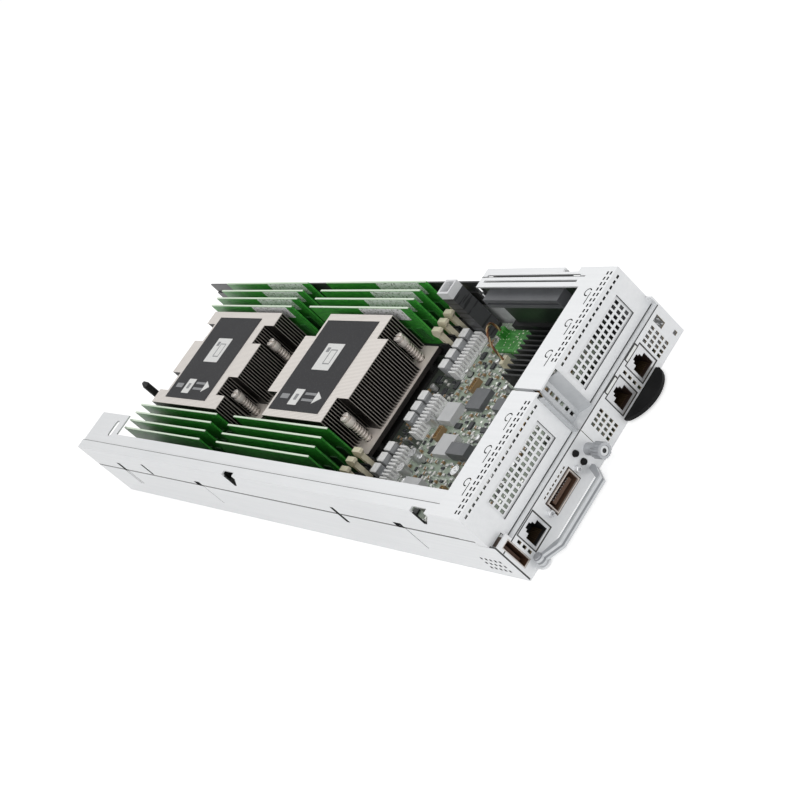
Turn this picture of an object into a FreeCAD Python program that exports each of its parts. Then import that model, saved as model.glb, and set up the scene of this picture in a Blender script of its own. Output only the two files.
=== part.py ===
import FreeCAD, Part
import math
import os

# Half-width server node for a shared rack enclosure, in millimetres.
# +X is to the right seen from the port end, +Y runs from the port end to the
# front, and +Z is up from the underside of the tray.

V = FreeCAD.Vector
X_AXIS = V(1, 0, 0)
Y_AXIS = V(0, 1, 0)
Z_AXIS = V(0, 0, 1)

# Driving sizes
WIDTH = 180.0
LENGTH = 550.0
HEIGHT = 60.0
SHEET = 1.2
MOVE_GAP = 0.3
PIN_GAP = 0.08
SEAT_GAP = 0.1
OVERCUT = 1.0
ROUND_SIDES = 12

LEFT = -WIDTH / 2
RIGHT = WIDTH / 2
REAR = -LENGTH / 2
FRONT = LENGTH / 2
BOARD_TOP = 8.0
PORT_HIGH = 16.0
PORT_ROOM = 0.8
PORT_TOP = BOARD_TOP + PORT_HIGH + PORT_ROOM + SHEET
SEAM_RISE = 10.0
SEAM = PORT_TOP + SEAM_RISE
SEAM_JOG = 3.6
SEAM_JOG_LENGTH = 15.3

# Tray and side rails
FRONT_LIP = 6.0
SEAM_GAP = 0.3
SKIRT = 10.0
LEDGE = 8.0
LEDGE_STEP = 0.8
FLANGE = 17.6
FLANGE_PAD = 36.0
FLANGE_PAD_LENGTH = 52.0
PAD_HOLE_WIDTH = 6.0
PAD_HOLE_LENGTH = 15.0
PAD_HOLE_AT = (22.5, 39.5)
LOW_RAIL = 12.0
RISER_FLANGE = 15.0
FLANGE_SLOT = 1.6
FLANGE_SLOT_SET = 6.2
FLANGE_SLOT_INSET = 5.0
TONGUE_FROM_FRONT = 54.0
TONGUE_SLOT = 6.0
TONGUE_WIDTH = 3.0
TONGUE_LOW = 17.0
TONGUE_HIGH = 9.0
SHORT_SLOT_FROM_FRONT = 108.0
SHORT_SLOT = (4.0, 14.5)
NOTCH = (9.0, 4.5)
NOTCH_SHARES = (0.66, 0.167)
LANCE = 1.0
LANCE_LOW = 13.5
ARROW = (15.0, 13.6)
ARROW_SHARES = (0.518, 0.085)
ARROW_TIP = 3.0
ARROW_SHOULDER = 3.5
MID_SLOT = (4.5, 17.0)
MID_SLOT_SHARE = 0.3
WALL_VENT = 2.2
WALL_VENT_PITCH = 4.6
WALL_VENT_ROWS = 3
WALL_VENT_COLUMNS = 5
WALL_VENT_LOW = 7.0
WALL_VENT_FROM_REAR = 12.0

# Port end
SHELF = 12.0
CAGE_STEP = 5.0
CAGE_DEPTH = 25.0
CAGE_FACE = REAR + CAGE_STEP
CAGE_FRONT = CAGE_FACE + CAGE_DEPTH
LEFT_PLATE = 87.6
PLATE_SPLIT = LEFT + LEFT_PLATE
PLATE_GAP = 0.4
GROOVE_SET = 1.4
GROOVE_MIDDLE = PLATE_SPLIT + GROOVE_SET
GROOVE = 2.0
LEFT_FACE_SET = 4.0
RIGHT_FACE_SET = 17.0
LEFT_FACE_END = GROOVE_MIDDLE - LEFT_FACE_SET
RIGHT_FACE_END = GROOVE_MIDDLE + RIGHT_FACE_SET
WINDOW = (57.0, 17.0)
LEFT_WINDOW_SET = 47.0
RIGHT_WINDOW_SET = 42.0
LEFT_WINDOW_X = LEFT + LEFT_WINDOW_SET
RIGHT_WINDOW_X = RIGHT - RIGHT_WINDOW_SET
WINDOW_LIFT = 16.0
WINDOW_MIDDLE_Z = PORT_TOP + WINDOW_LIFT
COVER_THICK = 0.8
COVER_LAP = 2.0
COVER_HOLE = (2.3, 3.1)
COVER_PITCH = (3.66, 4.85)
COVER_COLUMNS = int(WINDOW[0] / COVER_PITCH[0])
COVER_ROWS = 3
BEND_HOLE = (2.4, 1.5)
BEND_PITCH = 4.0
BEND_MARGIN = 2.0
BEND_TOP_ROWS = (2.6, 5.8)
BEND_FACE_ROW = 3.6
HOOK_COUNT = 3
HOOK_PITCH = 22.7
HOOK_RADIUS = 2.6
HOOK_SLIT = 0.8
HOOK_TAIL = 9.0
HOOK_OPEN = 100.0
HOOK_SET = 10.0
COLUMN_VENT_COUNT = 6
COLUMN_VENT = (2.6, 3.4)
COLUMN_VENT_PITCH = (4.0, 4.7)
CHANNEL_DEPTH = 4.0
CHANNEL_LEAN = 0.6
CHANNEL_FLOOR_SET = (2.0, 10.0)
CHANNEL_CREST_SET = 3.0
CHANNEL_FLOOR = (GROOVE_MIDDLE + CHANNEL_FLOOR_SET[0], GROOVE_MIDDLE + CHANNEL_FLOOR_SET[1])
CHANNEL_CREST = GROOVE_MIDDLE - CHANNEL_CREST_SET

# Main board
BOARD = 2.0
BOARD_LOW = BOARD_TOP - BOARD
BOARD_SIDE = 4.0
BOARD_FRONT_INSET = 13.0
BOARD_FRONT = FRONT - BOARD_FRONT_INSET
BOARD_REAR_INSET = 2.5
BOARD_REAR = REAR + BOARD_REAR_INSET
NOTCH_DEPTH = 53.0
BOARD_NOTCH_Y = REAR + NOTCH_DEPTH
BOARD_NOTCH_SET = 2.4
BOARD_NOTCH_X = PLATE_SPLIT - BOARD_NOTCH_SET
SCREW_HOLE = 1.7
STANDOFF_RADIUS = 3.0
STANDOFF_SIDES = 6

# Memory
MODULE = 133.35
MODULE_THICK = 1.3
MODULE_DROP = 4.0
MODULE_TOP = HEIGHT - MODULE_DROP
MODULE_LIFT = 3.5
MODULE_SEAT = BOARD_TOP + MODULE_LIFT
MODULE_PITCH = 7.62
MODULE_COUNT = 4
CHIP = (8.6, 12.0)
CHIP_THICK = 1.0
CHIP_COUNT = 9
CHIP_PITCH = 14.0
CHIP_LIFT = 11.0
BANK_PITCH = 161.0
BANK_SET = 116.0
FRONT_BANK = FRONT - BANK_SET
REAR_BANK = FRONT_BANK - BANK_PITCH
LEFT_BANK_WALL = 26.8
RIGHT_BANK_WALL = 6.5
SLOT_WIDTH = 6.6
SLOT_HIGH = 9.0
SLOT_GROOVE = MODULE_THICK + 2 * SEAT_GAP
SLOT_END = 0.2
TOWER = 5.0
TOWER_HIGH = 15.0
CHEEK = 1.1
CHEEK_LENGTH = 9.5
CHEEK_HIGH = 12.0
CHEEK_FLOOR = 1.5
LATCH_PIVOT = (5.5, 5.0)
LATCH_ARM = 2.0
LATCH_TOP = 20.0
LATCH_NOSE = 3.0
LATCH_NOSE_HIGH = 4.0
LATCH_PAD = 5.0
LATCH_PIN = 1.0

# Processors and coolers
LEFT_INNER_SLOT = LEFT + LEFT_BANK_WALL + (MODULE_COUNT - 1) * MODULE_PITCH
RIGHT_INNER_SLOT = RIGHT - RIGHT_BANK_WALL - (MODULE_COUNT - 1) * MODULE_PITCH
COOLER_X = (LEFT_INNER_SLOT + RIGHT_INNER_SLOT) / 2
COOLER_GAP = 1.7
COOLER_WIDTH = RIGHT_INNER_SLOT - LEFT_INNER_SLOT - SLOT_WIDTH - 2 * COOLER_GAP
COOLER_LENGTH = 112.0
FRONT_COOLER_SHIFT = 0.5
REAR_COOLER_SHIFT = -8.7
COOLER_DROP = 6.0
COOLER_TOP = HEIGHT - COOLER_DROP
BASE_LIFT = 8.0
BASE_LOW = BOARD_TOP + BASE_LIFT
BASE_THICK = 4.0
BASE_OVERHANG = 2.0
FIN_THICK = 0.5
FIN_COUNT = 41
COOLER_NOTCH = (17.4, 14.5)
FRONT_SCREW_INSET = 21.0
REAR_SCREW_INSET = 11.7
COOLER_SCREW_Y = (COOLER_LENGTH - COOLER_NOTCH[1]) / 2
COOLER_SCREW = 2.0
COOLER_SCREW_HEAD = 3.8
COOLER_SCREW_HEAD_HIGH = 8.0
COOLER_SCREW_HOLE = 2.5
SPRING_OUTER = 3.4
SPRING_INNER = 2.3
SPRING_HIGH = 17.5
SOCKET = (56.0, 84.0)
SOCKET_HIGH = 6.0
SOCKET_FLOOR = 2.0
PACKAGE = (50.0, 76.0)
PACKAGE_THICK = 1.5
LID = (44.0, 66.0)
BOLSTER_RIM = 6.0
BOLSTER_THICK = 2.0
BOSS_RADIUS = 4.0
BOSS_HIGH = 7.0
LABEL = (79.0, 69.0)
LABEL_THICK = 0.3
LABEL_SHIFT = 3.7

# Power row behind the rear banks
INDUCTOR = 7.4
INDUCTOR_HIGH = 12.0
INDUCTOR_PITCH = 8.8
INDUCTOR_SET = 18.3
INDUCTOR_ROW = REAR_BANK - MODULE / 2 - INDUCTOR_SET
COMB_SET = 9.6
COMB_ROW = INDUCTOR_ROW - COMB_SET
COMB_DEPTH = 8.0
COMB_HIGH = 8.0
COMB_BASE = 1.6
COMB_TOOTH = 1.3
COMB_PITCH = 2.8
POWER_FROM_WALL = (21.4, 74.3, 116.5)
INDUCTOR_COUNTS = (4, 3, 3)
COMB_TOOTH_COUNTS = (13, 12, 10)

# Parts on the rear of the main board
ZONE_SET = 4.0
ZONE_REAR = BOARD_NOTCH_Y + ZONE_SET
ZONE_FRONT = COMB_ROW - COMB_DEPTH / 2
ZONE = ZONE_FRONT - ZONE_REAR
CAPACITOR_RADIUS = 3.6
CAPACITOR_HIGH = 9.0
CAPACITOR_SPOTS = ((0.347, 0.90), (0.28, 0.92), (0.50, 0.95), (0.16, 0.55), (0.22, 0.30), (0.30, 0.42))
CHIP_SPOTS = (
    (0.545, 0.85, 15.0, 15.0, 6.0),
    (0.62, 0.69, 16.0, 16.0, 4.0),
    (0.22, 0.76, 12.0, 18.0, 7.0),
    (0.41, 0.71, 16.0, 16.0, 5.0),
    (0.39, 0.53, 9.0, 20.0, 8.0),
    (0.46, 0.30, 20.0, 12.0, 3.0),
    (0.13, 0.20, 14.0, 14.0, 3.0),
    (0.60, 0.40, 9.0, 22.0, 5.0),
)
FINNED_CHIP = (40.0, 22.0)
FINNED_CHIP_SPOT = (0.794, 0.357)
FINNED_CHIP_HIGH = 16.0
FINNED_CHIP_BASE = 3.0
FINNED_CHIP_FIN = 1.2
FINNED_CHIP_FIN_COUNT = 11
DAUGHTER = (18.0, 30.0)
DAUGHTER_SPOT = (0.858, 0.63)
DAUGHTER_THICK = 1.6
DAUGHTER_LIFT = 8.0
DAUGHTER_PLUG = (12.0, 6.0)
HEADER = (7.0, 4.0)
HEADER_HIGH = 5.0
HEADER_GAP = 1.5
HEADER_INSET = 1.0
WIRE_RADIUS = 1.0
WIRE_ROUTE = ((0.0, 9.0), (0.27, 16.5), (0.66, 19.5), (1.0, 15.1))
CORD_RUN_SHARE = 0.45
BAFFLE_POST = (12.0, 12.5)
BAFFLE_POST_WALL = 1.6
BAFFLE_POST_DROP = 4.0
BAFFLE_POST_TOP = HEIGHT - BAFFLE_POST_DROP
BAFFLE_POST_SET = 1.8
BAFFLE_POST_Y = INDUCTOR_ROW - INDUCTOR / 2 - BAFFLE_POST[1] / 2 - BAFFLE_POST_SET

# Riser on the right wall
RISER_THICK = 1.6
RISER_SET = 10.6
RISER_X = RIGHT - RISER_SET
RISER_CAGE_GAP = 14.0
RISER_POST_GAP = 35.0
RISER_REAR = CAGE_FRONT + RISER_CAGE_GAP
RISER_LENGTH = BAFFLE_POST_Y - BAFFLE_POST[1] / 2 - RISER_POST_GAP - RISER_REAR
RISER_DROP = 4.0
RISER_TOP = HEIGHT - RISER_DROP
RISER_LIFT = 4.0
RISER_SEAT = BOARD_TOP + RISER_LIFT
RISER_SOCKET = 7.6
RISER_SLOT_INSET = 7.0
RISER_SOCKET_HIGH = 11.0
RISER_SLOT = (10.0, 7.6)
RISER_SLOT_DROP = 5.5
RISER_SLOT_TOP = HEIGHT - RISER_SLOT_DROP
CARD_GROOVE = (1.8, 7.0)

# Ports
MEDIA_LIFT = 3.0
MEDIA_LOW = SHEET + MEDIA_LIFT
MEDIA_THICK = 1.6
MEDIA_TOP = MEDIA_LOW + MEDIA_THICK
MEDIA_DEPTH = 44.0
MEDIA_POST_INSET = 5.0
JACK = (16.0, 21.0, PORT_HIGH)
JACK_CAVITY = (12.4, 14.0, 9.0)
JACK_FLOOR = 1.2
JACK_STEPS = ((7.0, 2.4), (4.0, 1.6))
JACK_SET = 0.2
JACK_FROM_WALL = 23.5
JACK_LEFT_X = LEFT + JACK_FROM_WALL
JACK_FROM_SPLIT = 33.4
JACK_PITCH = 23.6
JACK_RIGHT_X = (PLATE_SPLIT + JACK_FROM_SPLIT, PLATE_SPLIT + JACK_FROM_SPLIT + JACK_PITCH)
PIPE = (11.0, 2.0)
PIPE_DEPTH = 14.0
PIPE_LIFT = 0.6
USB_SET = 5.3
USB_X = LEFT + SHEET + USB_SET
USB = (6.4, 20.5, 14.0)
USB_WALL = 0.6
USB_RIM = 1.6
USB_ROOM = 3.0
USB_TOP = BOARD_TOP + USB[1]
USB_TONGUE = (1.8, 15.0, 9.0)
VIDEO_FROM_JACK = 29.5
VIDEO_X = JACK_LEFT_X + VIDEO_FROM_JACK
VIDEO_BODY = (35.0, 15.0, 12.6)
VIDEO_SHELL = (24.5, 10.0)
VIDEO_SHELL_DEPTH = 8.0
VIDEO_WALL = 0.8
VIDEO_TONGUE = (18.0, 2.6)
VIDEO_MIDDLE = 5.6
VIDEO_SLOT_COUNT = 8
VIDEO_SLOT = (1.8, 1.0)
VIDEO_SLOT_PITCH = 3.0
VENT = (2.0, 2.9)
VENT_PITCH = (3.2, 4.7)
VENT_COUNT = 4
VENT_MARGIN = 3.6
VENT_LOW = 6.0
LEFT_VENT_COUNT = 3
END_HOLE = (4.8, 8.2)
END_HOLE_AT = (8.2, 18.5)
END_MARK = 2.8
END_MARK_AT = (5.6, 4.6)
BUTTON_LIFTS = (4.3, 12.1)
BUTTON_Z = (BOARD_TOP + BUTTON_LIFTS[0], BOARD_TOP + BUTTON_LIFTS[1])
BUTTON_RADIUS = 1.9
BUTTON_COLLAR = 2.7
BUTTON_COLLAR_THICK = 1.2
BUTTON_PROUD = 1.4
BUTTON_REACH = 6.0
BUTTON_TRAVEL = 1.0
SWITCH = (6.0, 5.0)
SWITCH_HIGH = 15.0
SWITCH_TOP = BOARD_TOP + SWITCH_HIGH

# Handle, thumbscrew and pull tab
THUMB_FROM_SPLIT = 5.1
THUMB_X = PLATE_SPLIT - THUMB_FROM_SPLIT
THUMB_LIFT = 6.0
THUMB_Z = BOARD_TOP + THUMB_LIFT
BUTTON_FROM_THUMB = 7.8
BUTTON_X = THUMB_X - BUTTON_FROM_THUMB
THUMB_RADIUS = 2.0
THUMB_TIP = 10.0
THUMB_TIP_CONE = 1.5
KNOB_RADIUS = 5.2
KNOB_LENGTH = 7.5
KNOB_FLUTE_COUNT = 16
KNOB_FLUTE = 0.55
KNOB_FACE = 3.2
KNOB_FACE_DEEP = 0.8
SLEEVE_RADIUS = 3.8
SLEEVE_LENGTH = 7.0
HANDLE_FROM_WALL = 12.0
HANDLE_X = LEFT + HANDLE_FROM_WALL
HANDLE_REACH = 15.5
HANDLE_FROM_THUMB = 6.2
HANDLE_END_X = THUMB_X - HANDLE_FROM_THUMB
HANDLE_PIVOT = 5.0
HANDLE_LIFT = 1.6
HANDLE_LOW = SHEET + HANDLE_LIFT
HANDLE_HIGH = 5.4
HANDLE_BAR = 3.0
HANDLE_SLOPE = 7.0
HUB_SLOPE = 13.0
HANDLE_HUB = 3.0
HANDLE_TOE = 2.2
HANDLE_PIN = 1.5
PIN_HEAD = 2.5
PIN_HEAD_HIGH = 0.8
PIN_FOOT_HIGH = 0.6
EAR = 4.2
EAR_THICK = 1.2
TAB_SET = 2.0
TAB_MIDDLE = sum(JACK_RIGHT_X) / 2 - TAB_SET
TAB_WIDTH = 38.0
MEDIA_SIDE = 4.6
MEDIA_RIM = 12.0
MEDIA_SPAN = (PLATE_SPLIT + MEDIA_SIDE, TAB_MIDDLE + TAB_WIDTH / 2 + MEDIA_RIM)
TAB_THICK = 1.8
TAB_REACH = 12.0
TAB_SHANK = 3.0
TAB_INSIDE = 70.0
TAB_RIM = 2.4
TAB_LOW = SHEET + MOVE_GAP
GUIDE = 1.4
GUIDE_LIP = 3.0
GUIDE_LIP_THICK = 0.5
GUIDE_LENGTH = 30.0

# Front end
PLUG_SIDE = 4.0
PLUG = (COOLER_WIDTH - 2 * PLUG_SIDE, 20.0, 17.0)
PLUG_INSET = 1.6
PLUG_SLOT_COUNT = 6
PLUG_SLOT = (9.0, 8.0, 11.0)
GUIDE_POST = 3.0
GUIDE_POST_DROP = 4.0
GUIDE_POST_TOP = HEIGHT - GUIDE_POST_DROP
GUIDE_POST_TIP = 3.0
GUIDE_POST_SET = 20.3
GUIDE_POST_GAP = 0.9


def span(middle, size):
    """Low and high end of a length about its middle."""
    return (middle - size / 2, middle + size / 2)


def box(x, y, z):
    """Block between three (low, high) pairs."""
    return Part.makeBox(x[1] - x[0], y[1] - y[0], z[1] - z[0], V(x[0], y[0], z[0]))


def prism(points, move):
    """Solid made by moving a closed outline."""
    loop = [V(*point) for point in points]
    return Part.Face(Part.makePolygon(loop + loop[:1])).extrude(move)


def rod(start, radius, length, axis):
    """Round bar from a point along an axis."""
    return Part.makeCylinder(radius, length, start, axis)


def tube(start, outer, inner, length, axis):
    """Round sleeve from a point along an axis."""
    return rod(start, outer, length, axis).cut(rod(start, inner, length, axis))


def fused(shapes):
    """One solid from touching shapes."""
    return shapes[0].fuse(shapes[1:]).removeSplitter()


def spread(count, pitch, middle):
    """Evenly spaced places about a middle."""
    return [middle + (index - (count - 1) / 2) * pitch for index in range(count)]


def at(shape, x, y, z):
    """Copy of a shape moved to a place."""
    moved = shape.copy()
    moved.translate(V(x, y, z))
    return moved


def sided(start, radius, length, axis, sides=ROUND_SIDES):
    """Many-sided bar whose flats lie at the radius, for small parts that repeat."""
    corner = radius / math.cos(math.pi / sides)
    across_axis = V(axis.y, axis.z, axis.x)
    other_axis = axis.cross(across_axis)
    points = []
    for index in range(sides):
        turn = 2 * math.pi * (index + 0.5) / sides
        spoke = across_axis * math.cos(turn) + other_axis * math.sin(turn)
        points.append(start + spoke * corner)
    return prism(points, axis * length)


def mirrored_x(shape):
    """Copy of a shape on the other side of the tray."""
    return shape.mirror(V(0, 0, 0), X_AXIS)


def along(share):
    """Place along the tray, as a share from the port end to the front."""
    return REAR + share * LENGTH


def wall_cuts():
    """Slots and vents through the left wall, shared by the tray and its rail."""
    x = (LEFT - OVERCUT, LEFT + 2 * SHEET + OVERCUT)
    tongue_y = FRONT - TONGUE_FROM_FRONT
    short_y = FRONT - SHORT_SLOT_FROM_FRONT
    cuts = [box(x, span(tongue_y, TONGUE_SLOT), (TONGUE_LOW, SEAM + TONGUE_HIGH))]
    cuts.append(box(x, span(short_y, SHORT_SLOT[0]), (SEAM + SHEET, SEAM + SHORT_SLOT[1])))
    cuts.append(box(x, span(along(MID_SLOT_SHARE), MID_SLOT[0]), span(SEAM - LANCE, MID_SLOT[1])))
    for share in NOTCH_SHARES:
        y = along(share)
        cuts.append(box(x, span(y, NOTCH[0]), (SEAM - LANCE, SEAM + NOTCH[1])))
        cuts.append(box(x, (y - NOTCH[0] / 2, y - NOTCH[0] / 2 + LANCE), (LANCE_LOW, SEAM)))
    for share in ARROW_SHARES:
        cuts.append(arrow_hole(x, along(share)))
    for row in range(WALL_VENT_ROWS):
        for column in range(WALL_VENT_COLUMNS):
            y = REAR + WALL_VENT_FROM_REAR + column * WALL_VENT_PITCH
            z = WALL_VENT_LOW + row * WALL_VENT_PITCH
            cuts.append(box(x, span(y, WALL_VENT), span(z, WALL_VENT)))
    return cuts


def arrow_hole(x, y):
    """Flag-shaped hook hole that runs from the upper wall over its top bend."""
    high = HEIGHT + OVERCUT
    low = HEIGHT - ARROW[1]
    half = ARROW[0] / 2
    outline = [
        (x[0], y + half, high),
        (x[0], y - half, high),
        (x[0], y - half, HEIGHT - ARROW_SHOULDER),
        (x[0], y + half - ARROW_TIP, low),
        (x[0], y + half, low),
    ]
    return prism(outline, V(x[1] - x[0], 0, 0))


def tray_pan():
    """Floor with low side walls, a front lip and a sprung tongue in each wall."""
    shape = fused([
        box((LEFT, RIGHT), (REAR, FRONT), (0, SHEET)),
        box((LEFT, LEFT + SHEET), (REAR, FRONT), (0, SEAM)),
        box((RIGHT - SHEET, RIGHT), (REAR, FRONT), (0, SEAM)),
        box((LEFT, RIGHT), (FRONT - SHEET, FRONT), (0, FRONT_LIP)),
    ])
    jog_y = (REAR - OVERCUT, REAR + SEAM_JOG_LENGTH)
    cuts = wall_cuts()
    cuts.append(box((LEFT, LEFT + SHEET), jog_y, (SEAM - SEAM_JOG, SEAM)))
    shape = shape.cut(cuts + [mirrored_x(cut) for cut in cuts])
    tongue_y = span(FRONT - TONGUE_FROM_FRONT, TONGUE_WIDTH)
    tongue = box((LEFT, LEFT + SHEET), tongue_y, (TONGUE_LOW, SEAM - SHEET))
    return fused([shape, tongue, mirrored_x(tongue)])


def pad_hole():
    """Oval hole across the front pad of the left flange."""
    x = LEFT + PAD_HOLE_AT[0]
    y = FRONT - PAD_HOLE_AT[1]
    low = HEIGHT - LEDGE_STEP - SHEET
    straight = PAD_HOLE_LENGTH - PAD_HOLE_WIDTH
    oval = [box(span(x, straight), span(y, PAD_HOLE_WIDTH), (low, HEIGHT))]
    for end in span(x, straight):
        oval.append(rod(V(end, y, low), PAD_HOLE_WIDTH / 2, HEIGHT - low, Z_AXIS))
    return oval


def side_rail_left():
    """Upper left wall: jogged skirt inside the tray, wall, top ledge and stepped flange."""
    y = (CAGE_FRONT, FRONT)
    flange_z = (HEIGHT - LEDGE_STEP - SHEET, HEIGHT - LEDGE_STEP)
    pad_y = (FRONT - FLANGE_PAD_LENGTH, FRONT)
    inner = LEFT + LEDGE - SHEET
    shape = fused([
        box((LEFT + SHEET, LEFT + 2 * SHEET), y, (SEAM - SKIRT, SEAM + SEAM_GAP + 2 * SHEET)),
        box((LEFT, LEFT + SHEET), y, (SEAM + SEAM_GAP, HEIGHT)),
        box((LEFT, LEFT + LEDGE), y, (HEIGHT - SHEET, HEIGHT)),
        box((inner, LEFT + FLANGE), y, flange_z),
        box((inner, LEFT + FLANGE_PAD), pad_y, flange_z),
    ])
    return shape.cut(wall_cuts() + pad_hole())


def side_rail_right():
    """Upper right wall: low beside the memory, full height with a slotted flange at the riser."""
    y = (CAGE_FRONT, FRONT)
    riser_y = (CAGE_FRONT, RISER_REAR + RISER_LENGTH)
    top = (HEIGHT - SHEET, HEIGHT)
    skirt_z = (SEAM - SKIRT, SEAM + SEAM_GAP + 2 * SHEET)
    shape = fused([
        box((RIGHT - 2 * SHEET, RIGHT - SHEET), y, skirt_z),
        box((RIGHT - SHEET, RIGHT), y, (SEAM + SEAM_GAP, SEAM + LOW_RAIL)),
        box((RIGHT - SHEET, RIGHT), riser_y, (SEAM + SEAM_GAP, HEIGHT)),
        box((RIGHT - RISER_FLANGE, RIGHT), riser_y, top),
    ])
    slot_y = (riser_y[0] + FLANGE_SLOT_INSET, riser_y[1] - FLANGE_SLOT_INSET)
    slots = [box(span(x, FLANGE_SLOT), slot_y, top) for x in (RIGHT - FLANGE_SLOT_SET, RISER_X)]
    return shape.cut(slots + [mirrored_x(cut) for cut in wall_cuts()])


def vent_grid(x, z, columns, rows, pitch, hole, y):
    """Oblong holes through a plate that faces along Y, about a middle point."""
    holes = []
    for vent_x in spread(columns, pitch[0], x):
        for vent_z in spread(rows, pitch[1], z):
            holes.append(box(span(vent_x, hole[0]), y, span(vent_z, hole[1])))
    return holes


def port_plate(x):
    """Upright plate at the port end with a shelf bent inwards along its top."""
    face = box(x, (REAR, REAR + SHEET), (SHEET, PORT_TOP))
    shelf = box(x, (REAR, REAR + SHELF), (PORT_TOP - SHEET, PORT_TOP))
    return fused([face, shelf])


def handle_ear():
    """Ear under the network jack that holds the handle's pin clear of the plate."""
    low = HANDLE_LOW - MOVE_GAP - EAR_THICK
    place = V(HANDLE_X, REAR - HANDLE_PIVOT, low)
    tongue = box(span(HANDLE_X, 2 * EAR), (REAR - HANDLE_PIVOT, REAR), (low, low + EAR_THICK))
    nose = rod(place, EAR, EAR_THICK, Z_AXIS)
    return fused([tongue, nose]).cut(rod(place, HANDLE_PIN + SEAT_GAP, EAR_THICK, Z_AXIS))


def io_plate_left():
    """Port plate of the main board: data, network and video windows, buttons and handle ear."""
    y = (REAR - OVERCUT, REAR + SHEET + OVERCUT)
    tower_x = (LEFT + SHEET, USB_X + USB[0] / 2 + USB_RIM)
    tower = box(tower_x, (REAR, REAR + SHEET), (SHEET, USB_TOP + USB_ROOM))
    shape = fused([port_plate((LEFT + SHEET, PLATE_SPLIT - PLATE_GAP / 2)), tower, handle_ear()])
    usb_y = (y[0], REAR + SHELF + OVERCUT)
    usb = box(span(USB_X, USB[0] + 2 * SEAT_GAP), usb_y, (BOARD_TOP - SEAT_GAP, USB_TOP + SEAT_GAP))
    jack_z = (BOARD_TOP - SEAT_GAP, BOARD_TOP + JACK[2] + SEAT_GAP)
    jack = box(span(JACK_LEFT_X, JACK[0] + 2 * SEAT_GAP), y, jack_z)
    video_middle = BOARD_TOP + VIDEO_MIDDLE
    video_z = span(video_middle, VIDEO_SHELL[1] + 2 * VIDEO_WALL)
    video = box(span(VIDEO_X, VIDEO_SHELL[0] + 2 * VIDEO_WALL), y, video_z)
    slot_z = BOARD_TOP + VIDEO_BODY[2] + VIDEO_SLOT[1]
    slots = [box(span(x, VIDEO_SLOT[0]), y, span(slot_z, VIDEO_SLOT[1]))
             for x in spread(VIDEO_SLOT_COUNT, VIDEO_SLOT_PITCH, VIDEO_X)]
    vent_x = (USB_X + USB[0] / 2 + JACK_LEFT_X - JACK[0] / 2) / 2
    vents = vent_grid(vent_x, BOARD_TOP + JACK[2] / 2, 1, LEFT_VENT_COUNT, VENT_PITCH, VENT, y)
    holes = [rod(V(BUTTON_X, y[0], z), BUTTON_RADIUS + MOVE_GAP, y[1] - y[0], Y_AXIS) for z in BUTTON_Z]
    thumb = rod(V(THUMB_X, y[0], THUMB_Z), THUMB_RADIUS + MOVE_GAP, y[1] - y[0], Y_AXIS)
    return shape.cut([usb, jack, video, thumb] + slots + vents + holes)


def io_plate_right():
    """Port plate of the network module: two jacks, their light pipes, vents and the tab slot."""
    y = (REAR - OVERCUT, REAR + SHEET + OVERCUT)
    shape = port_plate((PLATE_SPLIT + PLATE_GAP / 2, RIGHT - SHEET))
    cuts = []
    jack_z = (MEDIA_TOP - SEAT_GAP, MEDIA_TOP + JACK[2] + SEAT_GAP)
    pipe_z = (jack_z[1] + PIPE_LIFT - SEAT_GAP, jack_z[1] + PIPE_LIFT + PIPE[1])
    for x in JACK_RIGHT_X:
        cuts.append(box(span(x, JACK[0] + 2 * SEAT_GAP), y, jack_z))
        cuts.append(box(span(x, PIPE[0] + 2 * SEAT_GAP), y, pipe_z))
    vent_z = VENT_LOW + (VENT_COUNT - 1) * VENT_PITCH[1] / 2
    jack_half = JACK[0] / 2
    end_edge = RIGHT - END_HOLE_AT[0] - END_HOLE[0] / 2
    rooms = [
        (PLATE_SPLIT, JACK_RIGHT_X[0] - jack_half),
        (JACK_RIGHT_X[0] + jack_half, JACK_RIGHT_X[1] - jack_half),
        (JACK_RIGHT_X[1] + jack_half, end_edge),
    ]
    for room in rooms:
        columns = int((room[1] - room[0] - VENT_MARGIN) / VENT_PITCH[0])
        columns = min(columns, VENT_COUNT)
        cuts += vent_grid(sum(room) / 2, vent_z, columns, VENT_COUNT, VENT_PITCH, VENT, y)
    cuts.append(box(span(RIGHT - END_HOLE_AT[0], END_HOLE[0]), y, span(END_HOLE_AT[1], END_HOLE[1])))
    cuts.append(box(span(RIGHT - END_MARK_AT[0], END_MARK), y, span(END_MARK_AT[1], END_MARK)))
    tab_z = (SHEET - OVERCUT, TAB_LOW + TAB_THICK + MOVE_GAP)
    cuts.append(box(span(TAB_MIDDLE, TAB_WIDTH + 2 * MOVE_GAP), y, tab_z))
    return shape.cut(cuts)


def hook_slit(x, y):
    """Curled slit with a straight tail, lanced through a cage top."""
    z = HEIGHT - SHEET - OVERCUT
    deep = SHEET + 2 * OVERCUT
    ring = tube(V(x, y, z), HOOK_RADIUS + HOOK_SLIT / 2, HOOK_RADIUS - HOOK_SLIT / 2, deep, Z_AXIS)
    wedge = Part.makeCylinder(2 * HOOK_RADIUS, deep, V(x, y, z), Z_AXIS, HOOK_OPEN)
    tail_y = span(y - HOOK_RADIUS, HOOK_SLIT)
    tail = box((x - HOOK_TAIL, x), tail_y, (z, z + deep))
    wedge.rotate(V(x, y, z), Z_AXIS, 2 * HOOK_OPEN)
    return [ring.cut(wedge), tail]


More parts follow.
